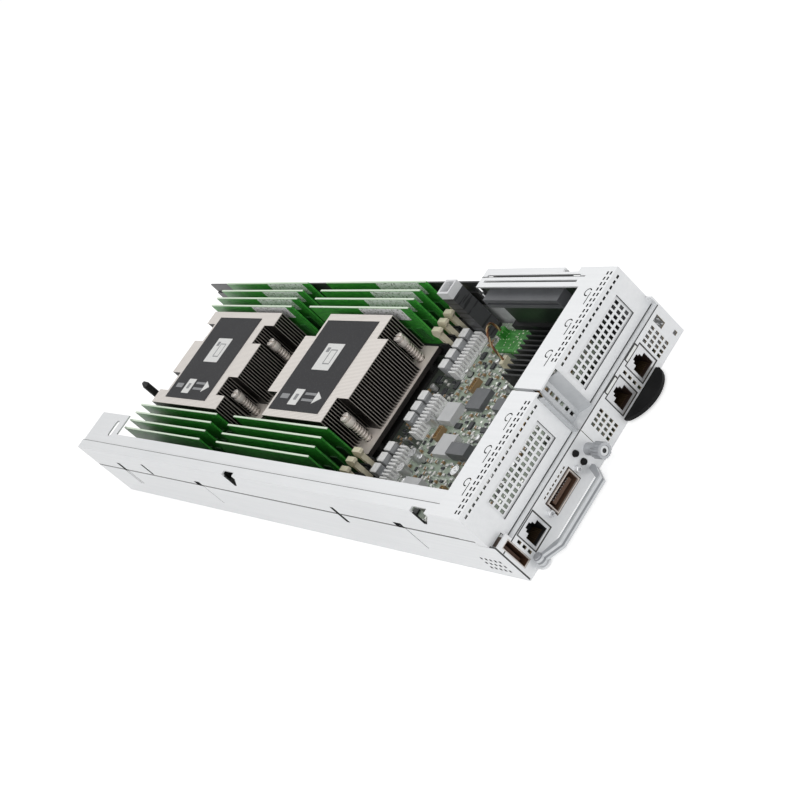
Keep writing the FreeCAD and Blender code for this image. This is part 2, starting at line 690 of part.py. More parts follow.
def cage(outer, inner, face_end, middle):
    """Folded card cage: top, end wall and face with a card window and vented bends."""
    x = (min(outer, inner), max(outer, inner))
    face_x = (min(outer, face_end), max(outer, face_end))
    wall_x = (outer, outer + SHEET) if outer < inner else (outer - SHEET, outer)
    hem_x = (inner - SHEET, inner) if outer < inner else (inner, inner + SHEET)
    top = (HEIGHT - SHEET, HEIGHT)
    y = (CAGE_FACE, CAGE_FRONT)
    face_y = (CAGE_FACE, CAGE_FACE + SHEET)
    jog_y = (CAGE_FACE, REAR + SEAM_JOG_LENGTH - SEAM_GAP)
    jog_low = SEAM - SEAM_JOG + SEAM_GAP
    shape = fused([
        box(x, y, top),
        box(face_x, face_y, (PORT_TOP, HEIGHT)),
        box(wall_x, y, (SEAM + SEAM_GAP, HEIGHT)),
        box(wall_x, jog_y, (jog_low, HEIGHT)),
        box(hem_x, (CAGE_FACE + 2 * CHANNEL_DEPTH, CAGE_FRONT), (HEIGHT - SKIRT, HEIGHT)),
    ])
    through = (CAGE_FACE - OVERCUT, CAGE_FACE + SHEET + OVERCUT)
    cuts = [box(span(middle, WINDOW[0]), through, span(WINDOW_MIDDLE_Z, WINDOW[1]))]
    cuts.append(box(wall_x, through, (PORT_TOP - OVERCUT, jog_low)))
    columns = int((face_x[1] - face_x[0] - 2 * BEND_MARGIN) / BEND_PITCH)
    for hole_x in spread(columns, BEND_PITCH, sum(face_x) / 2):
        face_z = span(HEIGHT - BEND_FACE_ROW, BEND_HOLE[1])
        cuts.append(box(span(hole_x, BEND_HOLE[0]), through, face_z))
        for row in BEND_TOP_ROWS:
            row_y = span(CAGE_FACE + row, BEND_HOLE[1])
            cuts.append(box(span(hole_x, BEND_HOLE[0]), row_y, (top[0] - OVERCUT, HEIGHT + OVERCUT)))
    for hook_x in spread(HOOK_COUNT, HOOK_PITCH, middle):
        cuts += hook_slit(hook_x, CAGE_FACE + HOOK_SET + HOOK_RADIUS)
    return shape.cut(cuts)


def riser_cage_left():
    """Card cage over the main board's ports, notched over the tall data port."""
    shape = cage(LEFT, GROOVE_MIDDLE - GROOVE / 2, LEFT_FACE_END, LEFT_WINDOW_X)
    notch_x = (LEFT, USB_X + USB[0] / 2 + USB_RIM)
    notch_y = (CAGE_FACE - OVERCUT, CAGE_FACE + SHEET + OVERCUT)
    return shape.cut(box(notch_x, notch_y, (PORT_TOP - OVERCUT, USB_TOP + USB_ROOM)))


def riser_cage_right():
    """Card cage over the network module."""
    return cage(RIGHT, GROOVE_MIDDLE + GROOVE / 2, RIGHT_FACE_END, RIGHT_WINDOW_X)


def slot_cover(middle):
    """Blank card bracket behind a cage window, pierced by rows of vents."""
    y = (CAGE_FACE + SHEET, CAGE_FACE + SHEET + COVER_THICK)
    x = span(middle, WINDOW[0] + 2 * COVER_LAP)
    z = span(WINDOW_MIDDLE_Z, WINDOW[1] + 2 * COVER_LAP)
    through = (y[0] - OVERCUT, y[1] + OVERCUT)
    holes = vent_grid(middle, WINDOW_MIDDLE_Z, COVER_COLUMNS, COVER_ROWS, COVER_PITCH, COVER_HOLE, through)
    return box(x, y, z).cut(holes)


def slot_cover_left():
    """Blank bracket of the left card slot."""
    return slot_cover(LEFT_WINDOW_X)


def slot_cover_right():
    """Blank bracket of the right card slot."""
    return slot_cover(RIGHT_WINDOW_X)


def centre_bracket():
    """Folded channel between the cages, with a column of vents in its floor."""
    floor_y = CAGE_FACE + CHANNEL_DEPTH
    line = [
        (LEFT_FACE_END + SEAT_GAP, CAGE_FACE),
        (CHANNEL_CREST, REAR + SEAT_GAP),
        (CHANNEL_FLOOR[0], floor_y),
        (CHANNEL_FLOOR[1], floor_y),
        (RIGHT_FACE_END - SHEET, REAR + 2 * SHEET),
    ]
    outline = [(x, y, PORT_TOP) for x, y in line]
    outline += [(x + CHANNEL_LEAN, y + SHEET, PORT_TOP) for x, y in reversed(line)]
    high = HEIGHT - 2 * SHEET - PORT_TOP
    shape = prism(outline, V(0, 0, high))
    vents = vent_grid(sum(CHANNEL_FLOOR) / 2, PORT_TOP + high / 2, 1, COLUMN_VENT_COUNT, COLUMN_VENT_PITCH,
                      COLUMN_VENT, (floor_y - OVERCUT, floor_y + SHEET + OVERCUT))
    return shape.cut(vents)


def board_spots():
    """Fixing points of the main board."""
    left = LEFT + BOARD_SIDE + 2 * STANDOFF_RADIUS
    right = RIGHT - BOARD_SIDE - 2 * STANDOFF_RADIUS
    between = (FRONT_BANK + REAR_BANK) / 2
    front = BOARD_FRONT - STANDOFF_RADIUS - SHEET
    rear = BOARD_NOTCH_Y + 2 * STANDOFF_RADIUS
    behind = COMB_ROW - COMB_DEPTH - 2 * STANDOFF_RADIUS
    return [(left, front), (right, front), (left, between), (COOLER_X, between), (right, between),
            (left, behind), (right, behind), (left, rear), (BOARD_NOTCH_X + 4 * STANDOFF_RADIUS, rear)]


def media_spots():
    """Fixing points of the network module's board."""
    y = (REAR + 2 * SHEET + 2 * MEDIA_POST_INSET, REAR + MEDIA_DEPTH - MEDIA_POST_INSET)
    x = (MEDIA_SPAN[0] + MEDIA_POST_INSET, MEDIA_SPAN[1] - MEDIA_POST_INSET)
    return [(spot_x, spot_y) for spot_x in x for spot_y in y]


def motherboard():
    """Stepped main board with its fixing holes."""
    outline = [
        (LEFT + BOARD_SIDE, BOARD_REAR),
        (BOARD_NOTCH_X, BOARD_REAR),
        (BOARD_NOTCH_X, BOARD_NOTCH_Y),
        (RIGHT - BOARD_SIDE, BOARD_NOTCH_Y),
        (RIGHT - BOARD_SIDE, BOARD_FRONT),
        (LEFT + BOARD_SIDE, BOARD_FRONT),
    ]
    shape = prism([(x, y, BOARD_LOW) for x, y in outline], V(0, 0, BOARD))
    return shape.cut([sided(V(x, y, BOARD_LOW), SCREW_HOLE, BOARD, Z_AXIS) for x, y in board_spots()])


def media_board():
    """Board of the network module, low behind its plate."""
    y = (REAR + 2 * SHEET, REAR + MEDIA_DEPTH)
    shape = box(MEDIA_SPAN, y, (MEDIA_LOW, MEDIA_TOP))
    return shape.cut([sided(V(x, y, MEDIA_LOW), SCREW_HOLE, MEDIA_THICK, Z_AXIS) for x, y in media_spots()])


def standoff(x, y, top):
    """Six-sided post on the tray floor."""
    return sided(V(x, y, SHEET), STANDOFF_RADIUS, top - SHEET, Z_AXIS, STANDOFF_SIDES)


def standoffs():
    """Posts under both boards."""
    posts = [standoff(x, y, BOARD_LOW) for x, y in board_spots()]
    return Part.Compound(posts + [standoff(x, y, MEDIA_LOW) for x, y in media_spots()])


def cooler_y(bank):
    """Middle of the processor that belongs to a memory bank."""
    return bank + (FRONT_COOLER_SHIFT if bank == FRONT_BANK else REAR_COOLER_SHIFT)


def screw_reach(bank):
    """Distance of a cooler's screws from its middle line."""
    return COOLER_WIDTH / 2 - (FRONT_SCREW_INSET if bank == FRONT_BANK else REAR_SCREW_INSET)


def cooler_spots(bank):
    """The four screw places of a cooler."""
    x, y = screw_reach(bank), cooler_y(bank)
    return [(COOLER_X + sx * x, y + sy * COOLER_SCREW_Y) for sx in (-1, 1) for sy in (-1, 1)]


def socket(bank):
    """Socket body in a bolster frame with four threaded bosses."""
    y = cooler_y(bank)
    high = (BOARD_TOP, BOARD_TOP + BOLSTER_THICK)
    plate_y = span(y, 2 * (COOLER_SCREW_Y + BOLSTER_RIM))
    plate = box(span(COOLER_X, 2 * (screw_reach(bank) + BOLSTER_RIM)), plate_y, high)
    body = box(span(COOLER_X, SOCKET[0]), span(y, SOCKET[1]), (BOARD_TOP, BOARD_TOP + SOCKET_HIGH))
    bosses = [sided(V(sx, sy, BOARD_TOP), BOSS_RADIUS, BOSS_HIGH, Z_AXIS) for sx, sy in cooler_spots(bank)]
    shape = fused([plate, body] + bosses)
    well = box(span(COOLER_X, PACKAGE[0] + 2 * SEAT_GAP), span(y, PACKAGE[1] + 2 * SEAT_GAP),
               (BOARD_TOP + SOCKET_FLOOR, BOARD_TOP + SOCKET_HIGH))
    bores = [sided(V(sx, sy, BOARD_TOP), COOLER_SCREW + SEAT_GAP, BOSS_HIGH, Z_AXIS)
             for sx, sy in cooler_spots(bank)]
    return shape.cut([well] + bores)


def processor(bank):
    """Processor package with a raised lid that meets the cooler's base."""
    y = cooler_y(bank)
    low = BOARD_TOP + SOCKET_FLOOR
    package = box(span(COOLER_X, PACKAGE[0]), span(y, PACKAGE[1]), (low, low + PACKAGE_THICK))
    lid = box(span(COOLER_X, LID[0]), span(y, LID[1]), (low + PACKAGE_THICK, BASE_LOW))
    return fused([package, lid])


def heatsink_base(bank):
    """Base plate of a cooler with its screw holes."""
    length = COOLER_LENGTH + 2 * BASE_OVERHANG
    shape = box(span(COOLER_X, COOLER_WIDTH), span(cooler_y(bank), length), (BASE_LOW, BASE_LOW + BASE_THICK))
    return shape.cut([sided(V(x, y, BASE_LOW), COOLER_SCREW_HOLE, BASE_THICK, Z_AXIS)
                      for x, y in cooler_spots(bank)])


def notch_blocks(bank):
    """Room for the screws, open to the ends of the fin stack and to a side that is near."""
    low = BASE_LOW + BASE_THICK
    wide, deep = COOLER_NOTCH
    blocks = []
    for x, y in cooler_spots(bank):
        outward = math.copysign(COOLER_LENGTH, y - cooler_y(bank))
        inner = y - math.copysign(deep / 2, outward)
        notch_y = sorted((inner, inner + outward))
        side = math.copysign(1.0, x - COOLER_X)
        edge = COOLER_WIDTH / 2 + OVERCUT
        near = edge - screw_reach(bank) < wide
        outer = COOLER_X + side * edge if near else x + side * wide / 2
        notch_x = sorted((x - side * wide / 2, outer))
        blocks.append(box(notch_x, notch_y, (low, COOLER_TOP + OVERCUT)))
    return blocks


def heatsink_fins(bank):
    """Fin stack: upright plates joined by their folded tops, notched at the screws."""
    y = span(cooler_y(bank), COOLER_LENGTH)
    low = BASE_LOW + BASE_THICK
    pitch = (COOLER_WIDTH - FIN_THICK) / (FIN_COUNT - 1)
    plates = [box(span(x, FIN_THICK), y, (low, COOLER_TOP)) for x in spread(FIN_COUNT, pitch, COOLER_X)]
    top = box(span(COOLER_X, COOLER_WIDTH), y, (COOLER_TOP - FIN_THICK, COOLER_TOP))
    return fused([top] + plates).cut(notch_blocks(bank))


def heatsink_label(bank):
    """Plain dark sheet on the top of a fin stack."""
    y = span(cooler_y(bank) + LABEL_SHIFT, LABEL[1])
    return box(span(COOLER_X, LABEL[0]), y, (COOLER_TOP, COOLER_TOP + LABEL_THICK))


def heatsink_screws():
    """Sprung screws that hold both coolers to their bosses."""
    head_low = BASE_LOW + BASE_THICK + SPRING_HIGH
    foot = BOARD_TOP + BOLSTER_THICK
    screws = []
    for x, y in cooler_spots(FRONT_BANK) + cooler_spots(REAR_BANK):
        shank = sided(V(x, y, foot), COOLER_SCREW - SEAT_GAP, head_low - foot, Z_AXIS)
        head = sided(V(x, y, head_low), COOLER_SCREW_HEAD, COOLER_SCREW_HEAD_HIGH, Z_AXIS)
        screws.append(fused([shank, head]))
    return Part.Compound(screws)


def heatsink_springs():
    """Plain sleeves that stand for the coil springs under the screw heads."""
    low = BASE_LOW + BASE_THICK
    sleeves = []
    for x, y in cooler_spots(FRONT_BANK) + cooler_spots(REAR_BANK):
        outer = sided(V(x, y, low), SPRING_OUTER, SPRING_HIGH, Z_AXIS)
        sleeves.append(outer.cut(sided(V(x, y, low), SPRING_INNER, SPRING_HIGH, Z_AXIS)))
    return Part.Compound(sleeves)


def bank_x(inner, side):
    """Places of the modules in a bank, from the inner one outwards."""
    return [inner + side * index * MODULE_PITCH for index in range(MODULE_COUNT)]


def memory_slot():
    """Socket for one module, latch end towards -Y, about the module's middle."""
    end = MODULE / 2 + SLOT_END
    half = SLOT_WIDTH / 2
    low = BOARD_TOP
    cheek_y = (-end - CHEEK_LENGTH, -end)
    tower_y = (end, end + TOWER)
    body = fused([
        box((-half, half), (-end - CHEEK_FLOOR, end + TOWER), (low, low + SLOT_HIGH)),
        box((-half, half), tower_y, (low, low + TOWER_HIGH)),
        box((-half, half), cheek_y, (low, low + CHEEK_FLOOR)),
        box((-half, CHEEK - half), cheek_y, (low, low + CHEEK_HIGH)),
        box((half - CHEEK, half), cheek_y, (low, low + CHEEK_HIGH)),
    ])
    groove = box(span(0, SLOT_GROOVE), (-end, end), (MODULE_SEAT, low + SLOT_HIGH))
    gap = box((CHEEK - half, half - CHEEK), cheek_y, (low + CHEEK_FLOOR, low + CHEEK_HIGH))
    hole_y = -MODULE / 2 - LATCH_PIVOT[0]
    hole = sided(V(-half, hole_y, low + LATCH_PIVOT[1]), LATCH_PIN + PIN_GAP, SLOT_WIDTH, X_AXIS)
    return body.cut([groove, gap, hole])


def memory_latch():
    """Ejector lever with a nose towards the module, a thumb pad and two pins."""
    pivot_y = -MODULE / 2 - LATCH_PIVOT[0]
    pivot_z = BOARD_TOP + LATCH_PIVOT[1]
    half = SLOT_WIDTH / 2 - CHEEK - MOVE_GAP
    top = pivot_z + LATCH_TOP
    nose_low = top - 2 * LATCH_NOSE_HIGH
    outline = [
        (-half, pivot_y + LATCH_ARM, pivot_z - LATCH_ARM),
        (-half, pivot_y + LATCH_ARM, nose_low),
        (-half, pivot_y + LATCH_ARM + LATCH_NOSE, nose_low + LATCH_NOSE_HIGH / 2),
        (-half, pivot_y + LATCH_ARM + LATCH_NOSE, nose_low + LATCH_NOSE_HIGH),
        (-half, pivot_y + LATCH_ARM, top),
        (-half, pivot_y - LATCH_ARM - LATCH_PAD, top),
        (-half, pivot_y - LATCH_ARM - LATCH_PAD, top - LATCH_ARM),
        (-half, pivot_y - LATCH_ARM, nose_low + LATCH_NOSE_HIGH / 2),
        (-half, pivot_y - LATCH_ARM, pivot_z - LATCH_ARM),
    ]
    lever = prism(outline, V(2 * half, 0, 0))
    pin = sided(V(SEAT_GAP - SLOT_WIDTH / 2, pivot_y, pivot_z), LATCH_PIN, SLOT_WIDTH - 2 * SEAT_GAP, X_AXIS)
    return fused([lever, pin])


def memory_module():
    """Module board with a row of chips on both faces."""
    board = box(span(0, MODULE_THICK), span(0, MODULE), (MODULE_SEAT, MODULE_TOP))
    width = MODULE_THICK + 2 * CHIP_THICK
    low = MODULE_SEAT + CHIP_LIFT
    chips = [box(span(0, width), span(y, CHIP[0]), (low, low + CHIP[1]))
             for y in spread(CHIP_COUNT, CHIP_PITCH, 0)]
    return fused([board] + chips)


def turned(shape):
    """Copy turned end for end about the vertical axis."""
    copy = shape.copy()
    copy.rotate(V(0, 0, 0), Z_AXIS, 180)
    return copy


def memory_slots(inner, side):
    """The eight sockets on one side, latches at the outer ends of the two banks."""
    front = turned(memory_slot())
    rear = memory_slot()
    places = bank_x(inner, side)
    slots = [at(front, x, FRONT_BANK, 0) for x in places]
    return Part.Compound(slots + [at(rear, x, REAR_BANK, 0) for x in places])


def memory_modules(inner, side):
    """The eight modules on one side."""
    module = memory_module()
    places = bank_x(inner, side)
    return Part.Compound([at(module, x, bank, 0) for bank in (FRONT_BANK, REAR_BANK) for x in places])


def memory_latches(inner, side, bank):
    """The four latches at the outer end of one bank."""
    latch = memory_latch() if bank == REAR_BANK else turned(memory_latch())
    return Part.Compound([at(latch, x, bank, 0) for x in bank_x(inner, side)])


def across(share):
    """Place across the tray, as a share from the left wall to the right."""
    return LEFT + share * WIDTH


def inductors():
    """Three groups of square power inductors behind the rear banks."""
    z = (BOARD_TOP, BOARD_TOP + INDUCTOR_HIGH)
    pieces = []
    for set_back, count in zip(POWER_FROM_WALL, INDUCTOR_COUNTS):
        for index in range(count):
            x = RIGHT - set_back - index * INDUCTOR_PITCH
            pieces.append(box(span(x, INDUCTOR), span(INDUCTOR_ROW, INDUCTOR), z))
    return Part.Compound(pieces)


def transistor_coolers():
    """Comb-shaped coolers behind the inductors."""
    combs = []
    y = span(COMB_ROW, COMB_DEPTH)
    for set_back, teeth in zip(POWER_FROM_WALL, COMB_TOOTH_COUNTS):
        start = RIGHT - set_back + INDUCTOR / 2
        length = (teeth - 1) * COMB_PITCH + COMB_TOOTH
        base = box((start - length, start), y, (BOARD_TOP, BOARD_TOP + COMB_BASE))
        tooth_z = (BOARD_TOP, BOARD_TOP + COMB_HIGH)
        plates = []
        for index in range(teeth):
            edge = start - index * COMB_PITCH
            plates.append(box((edge - COMB_TOOTH, edge), y, tooth_z))
        combs.append(fused([base] + plates))
    return Part.Compound(combs)


def zone_y(share):
    """Place in the zone between the comb coolers and the port end."""
    return ZONE_REAR + share * ZONE


def capacitors():
    """Round capacitors on the rear of the main board."""
    return Part.Compound([rod(V(across(x), zone_y(y), BOARD_TOP), CAPACITOR_RADIUS, CAPACITOR_HIGH, Z_AXIS)
                          for x, y in CAPACITOR_SPOTS])


def chips():
    """Square and oblong parts on the rear of the main board."""
    return Part.Compound([box(span(across(x), wide), span(zone_y(y), deep), (BOARD_TOP, BOARD_TOP + high))
                          for x, y, wide, deep, high in CHIP_SPOTS])


def chip_cooler():
    """Black finned cooler in front of the right cage."""
    x = across(FINNED_CHIP_SPOT[0])
    y = span(zone_y(FINNED_CHIP_SPOT[1]), FINNED_CHIP[1])
    base = box(span(x, FINNED_CHIP[0]), y, (BOARD_TOP, BOARD_TOP + FINNED_CHIP_BASE))
    pitch = (FINNED_CHIP[0] - FINNED_CHIP_FIN) / (FINNED_CHIP_FIN_COUNT - 1)
    fins = [box(span(fin_x, FINNED_CHIP_FIN), y, (BOARD_TOP, BOARD_TOP + FINNED_CHIP_HIGH))
            for fin_x in spread(FINNED_CHIP_FIN_COUNT, pitch, x)]
    return fused([base] + fins)


def daughter_middle():
    """Middle of the small raised board."""
    return across(DAUGHTER_SPOT[0]), zone_y(DAUGHTER_SPOT[1])


def daughter_board():
    """Small raised board on its plug, with a wire header on top."""
    x, y = daughter_middle()
    low = BOARD_TOP + DAUGHTER_LIFT
    top = low + DAUGHTER_THICK
    plug = box(span(x, DAUGHTER_PLUG[0]), span(y, DAUGHTER_PLUG[1]), (BOARD_TOP, low))
    board = box(span(x, DAUGHTER[0]), span(y, DAUGHTER[1]), (low, top))
    header_x, header_y = wire_ends()[1]
    header = box(span(header_x, HEADER[0]), span(header_y, HEADER[1]), (top, top + HEADER_HIGH))
    return Part.Compound([plug, board, header])


def wire_ends():
    """Where the wire bundle leaves the main board and meets the small board."""
    x, y = daughter_middle()
    start_x = x - DAUGHTER[0] / 2 - HEADER_GAP - HEADER[0] / 2
    end_x = x + DAUGHTER[0] / 2 - HEADER_INSET - HEADER[0] / 2
    return (start_x, y), (end_x, y + DAUGHTER[1] / 2 - HEADER_INSET - HEADER[1] / 2)


def wire_header():
    """Header on the main board for the wire bundle."""
    x, y = wire_ends()[0]
    return box(span(x, HEADER[0]), span(y, HEADER[1]), (BOARD_TOP, BOARD_TOP + DAUGHTER_LIFT))


def cord_path(points):
    """Straight runs joined by tangent arcs, each as large as its two runs allow."""
    edges = []
    radii = []
    start = points[0]
    for before, corner, after in zip(points, points[1:], points[2:]):
        back = before - corner
        ahead = after - corner
        shorter = min(back.Length, ahead.Length)
        back.normalize()
        ahead.normalize()
        half = back.getAngle(ahead) / 2
        reach = CORD_RUN_SHARE * shorter
        radius = reach * math.tan(half)
        bisector = (back + ahead).normalize()
        crown = corner + bisector * (radius / math.sin(half) - radius)
        edges.append(Part.LineSegment(start, corner + back * reach).toShape())
        edges.append(Part.Arc(corner + back * reach, crown, corner + ahead * reach).toShape())
        start = corner + ahead * reach
        radii.append(round(radius, 1))
    edges.append(Part.LineSegment(start, points[-1]).toShape())
    return Part.Wire(edges), radii


def wire_bundle():
    """Loose twisted wires from the main board's header up and over to the small board."""
    (start_x, start_y), (end_x, end_y) = wire_ends()
    low = BOARD_TOP + DAUGHTER_LIFT
    end_z = low + DAUGHTER_THICK + HEADER_HIGH
    points = [V(start_x, start_y, low)]
    for share, lift in WIRE_ROUTE:
        points.append(V(start_x + share * (end_x - start_x), start_y + share * (end_y - start_y), low + lift))
    points.append(V(end_x, end_y, end_z))
    path, radii = cord_path(points)
    profile = Part.Wire(Part.makeCircle(WIRE_RADIUS, points[0], Z_AXIS))
    bundle = path.makePipeShell([profile], True, True)
    full = Part.Face(profile).Area * path.Length
    print("wire bend radii", radii, "volume share", round(bundle.Volume / full, 4))
    return bundle


def baffle_post():
    """Open plastic tower behind the right memory bank that holds an air baffle."""
    x = RIGHT - BOARD_SIDE - SHEET - BAFFLE_POST[0] / 2
    y = BAFFLE_POST_Y
    z = (BOARD_TOP, BAFFLE_POST_TOP)
    wall = 2 * BAFFLE_POST_WALL
    shape = box(span(x, BAFFLE_POST[0]), span(y, BAFFLE_POST[1]), z)
    well_z = (BOARD_TOP + wall, BAFFLE_POST_TOP)
    well = box(span(x, BAFFLE_POST[0] - wall), span(y, BAFFLE_POST[1] - wall), well_z)
    return shape.cut(well)


def riser_middle():
    """Middle of the riser along the tray."""
    return RISER_REAR + RISER_LENGTH / 2


def riser_card():
    """Upright riser board beside the right wall."""
    return box(span(RISER_X, RISER_THICK), span(riser_middle(), RISER_LENGTH), (RISER_SEAT, RISER_TOP))


def riser_socket():
    """Board socket that the riser stands in."""
    z = (BOARD_TOP, BOARD_TOP + RISER_SOCKET_HIGH)
    y = span(riser_middle(), RISER_LENGTH + 2 * TOWER)
    shape = box(span(RISER_X, RISER_SOCKET), y, z)
    groove_y = span(riser_middle(), RISER_LENGTH + 2 * SEAT_GAP)
    return shape.cut(box(span(RISER_X, RISER_THICK + 2 * SEAT_GAP), groove_y, (RISER_SEAT, z[1])))


def riser_slot():
    """Card slot on the riser's inner face, open towards the left."""
    x = (RISER_X - RISER_THICK / 2 - RISER_SLOT[0], RISER_X - RISER_THICK / 2)
    z = (RISER_SLOT_TOP - RISER_SLOT[1], RISER_SLOT_TOP)
    length = RISER_LENGTH - 2 * RISER_SLOT_INSET
    shape = box(x, span(riser_middle(), length), z)
    groove_y = span(riser_middle(), length - 2 * RISER_THICK)
    groove = box((x[0], x[0] + CARD_GROOVE[1]), groove_y, span(sum(z) / 2, CARD_GROOVE[0]))
    return shape.cut(groove)


def jack():
    """Network jack, mouth towards -Y, with a stepped latch way at the top."""
    shape = box(span(0, JACK[0]), (0, JACK[1]), (0, JACK[2]))
    low = JACK_FLOOR
    cuts = [box(span(0, JACK_CAVITY[0]), (0, JACK_CAVITY[1]), (low, low + JACK_CAVITY[2]))]
    low += JACK_CAVITY[2]
    for width, high in JACK_STEPS:
        cuts.append(box(span(0, width), (0, JACK_CAVITY[1]), (low, low + high)))
        low += high
    return shape.cut(cuts)


def network_jacks():
    """Three network jacks: one on the main board, two on the network module."""
    y = REAR + JACK_SET
    jacks = [at(jack(), JACK_LEFT_X, y, BOARD_TOP)]
    return Part.Compound(jacks + [at(jack(), x, y, MEDIA_TOP) for x in JACK_RIGHT_X])


def light_pipes():
    """Clear light pipes lying on the two network module jacks."""
    low = MEDIA_TOP + JACK[2]
    pipes = []
    for x in JACK_RIGHT_X:
        foot = box(span(x, PIPE[0]), (REAR + SHEET + JACK_SET, REAR + PIPE_DEPTH), (low, low + PIPE_LIFT))
        bar_z = (low + PIPE_LIFT, low + PIPE_LIFT + PIPE[1])
        pipes.append(fused([foot, box(span(x, PIPE[0]), (REAR + JACK_SET, REAR + PIPE_DEPTH), bar_z)]))
    return Part.Compound(pipes)


def usb_port():
    """Upright data port: thin shell with a tongue inside."""
    z = (BOARD_TOP, BOARD_TOP + USB[1])
    y = (REAR + JACK_SET, REAR + JACK_SET + USB[2])
    shape = box(span(USB_X, USB[0]), y, z)
    well_z = (z[0] + USB_WALL, z[1] - USB_WALL)
    well = box(span(USB_X, USB[0] - 2 * USB_WALL), (y[0], y[1] - USB_WALL), well_z)
    tongue_y = (y[1] - USB_WALL - USB_TONGUE[2], y[1])
    tongue = box(span(USB_X, USB_TONGUE[0]), tongue_y, span(sum(z) / 2, USB_TONGUE[1]))
    return fused([shape.cut(well), tongue])


def video_port():
    """Wide video and service port: body behind the plate, shell through it, tongue inside."""
    z = BOARD_TOP + VIDEO_MIDDLE
    back = REAR + SHEET
    body_y = (back, back + VIDEO_BODY[1])
    body = box(span(VIDEO_X, VIDEO_BODY[0]), body_y, (BOARD_TOP, BOARD_TOP + VIDEO_BODY[2]))
    shell = box(span(VIDEO_X, VIDEO_SHELL[0]), (REAR - VIDEO_WALL, back), span(z, VIDEO_SHELL[1]))
    mouth = box(span(VIDEO_X, VIDEO_SHELL[0] - 2 * VIDEO_WALL), (REAR - VIDEO_WALL, back + VIDEO_SHELL_DEPTH),
                span(z, VIDEO_SHELL[1] - 2 * VIDEO_WALL))
    tongue = box(span(VIDEO_X, VIDEO_TONGUE[0]), (REAR + VIDEO_WALL, body_y[1]), span(z, VIDEO_TONGUE[1]))
    return fused([fused([body, shell]).cut(mouth), tongue])


def button(z):
    """Push button with a collar behind the plate."""
    shank = rod(V(BUTTON_X, REAR - BUTTON_PROUD, z), BUTTON_RADIUS, BUTTON_PROUD + BUTTON_REACH, Y_AXIS)
    collar_y = REAR + SHEET + MOVE_GAP
    return fused([shank, rod(V(BUTTON_X, collar_y, z), BUTTON_COLLAR, BUTTON_COLLAR_THICK, Y_AXIS)])


def button_switches():
    """Switch block on the main board behind the buttons."""
    front = REAR + BUTTON_REACH + BUTTON_TRAVEL + MOVE_GAP
    return box(span(BUTTON_X, SWITCH[0]), (front, front + SWITCH[1]), (BOARD_TOP, SWITCH_TOP))


def thumbscrew():
    """Captive screw with a fluted knob outside and a pointed tip inside."""
    knob_y = REAR - SLEEVE_LENGTH - MOVE_GAP - KNOB_LENGTH
    outline = []
    for index in range(2 * KNOB_FLUTE_COUNT):
        turn = math.pi * index / KNOB_FLUTE_COUNT
        radius = KNOB_RADIUS - KNOB_FLUTE * (index % 2)
        outline.append((THUMB_X + radius * math.cos(turn), knob_y, THUMB_Z + radius * math.sin(turn)))
    knob = prism(outline, Y_AXIS * KNOB_LENGTH)
    dish = rod(V(THUMB_X, knob_y, THUMB_Z), KNOB_FACE, KNOB_FACE_DEEP, Y_AXIS)
    shank_end = REAR + THUMB_TIP
    shank = rod(V(THUMB_X, knob_y + KNOB_LENGTH / 2, THUMB_Z), THUMB_RADIUS,
                shank_end - knob_y - KNOB_LENGTH / 2, Y_AXIS)
    tip_place = V(THUMB_X, shank_end, THUMB_Z)
    tip = Part.makeCone(THUMB_RADIUS, THUMB_RADIUS / 2, THUMB_TIP_CONE, tip_place, Y_AXIS)
    return fused([knob.cut(dish), shank, tip])


def thumbscrew_sleeve():
    """Plain sleeve on the port plate that guides the thumbscrew."""
    place = V(THUMB_X, REAR - SLEEVE_LENGTH, THUMB_Z)
    return tube(place, SLEEVE_RADIUS, THUMB_RADIUS + PIN_GAP, SLEEVE_LENGTH, Y_AXIS)


def pull_handle():
    """Swinging pull handle: hub on the pin, sloped legs and a straight bar."""
    pivot_y = REAR - HANDLE_PIVOT
    bar_y = REAR - HANDLE_REACH
    toe_y = REAR - HANDLE_TOE - HANDLE_BAR
    outer = [
        (HANDLE_X - HANDLE_BAR / 2, pivot_y),
        (HANDLE_X + HUB_SLOPE - HANDLE_BAR / 2, bar_y),
        (HANDLE_END_X - HANDLE_SLOPE, bar_y),
        (HANDLE_END_X, toe_y),
        (HANDLE_END_X, toe_y + HANDLE_BAR),
        (HANDLE_END_X - HANDLE_BAR, toe_y + HANDLE_BAR),
        (HANDLE_END_X - HANDLE_SLOPE - HANDLE_BAR / 2, bar_y + HANDLE_BAR),
        (HANDLE_X + HUB_SLOPE + HANDLE_BAR / 2, bar_y + HANDLE_BAR),
        (HANDLE_X + HANDLE_BAR / 2, pivot_y),
    ]
    grip = prism([(x, y, HANDLE_LOW) for x, y in outer], V(0, 0, HANDLE_HIGH))
    hub = rod(V(HANDLE_X, pivot_y, HANDLE_LOW), HANDLE_HUB, HANDLE_HIGH, Z_AXIS)
    bore = rod(V(HANDLE_X, pivot_y, HANDLE_LOW), HANDLE_PIN + PIN_GAP, HANDLE_HIGH, Z_AXIS)
    return fused([grip, hub]).cut(bore)


def handle_pin():
    """Pin standing in the ear, with a head over the handle's hub and one under the ear."""
    low = HANDLE_LOW - MOVE_GAP - EAR_THICK
    high = HANDLE_LOW + HANDLE_HIGH + MOVE_GAP
    y = REAR - HANDLE_PIVOT
    shank = rod(V(HANDLE_X, y, low), HANDLE_PIN, high - low, Z_AXIS)
    head = rod(V(HANDLE_X, y, high), PIN_HEAD, PIN_HEAD_HIGH, Z_AXIS)
    foot = rod(V(HANDLE_X, y, low - PIN_FOOT_HIGH), PIN_HEAD, PIN_FOOT_HIGH, Z_AXIS)
    return fused([shank, head, foot])


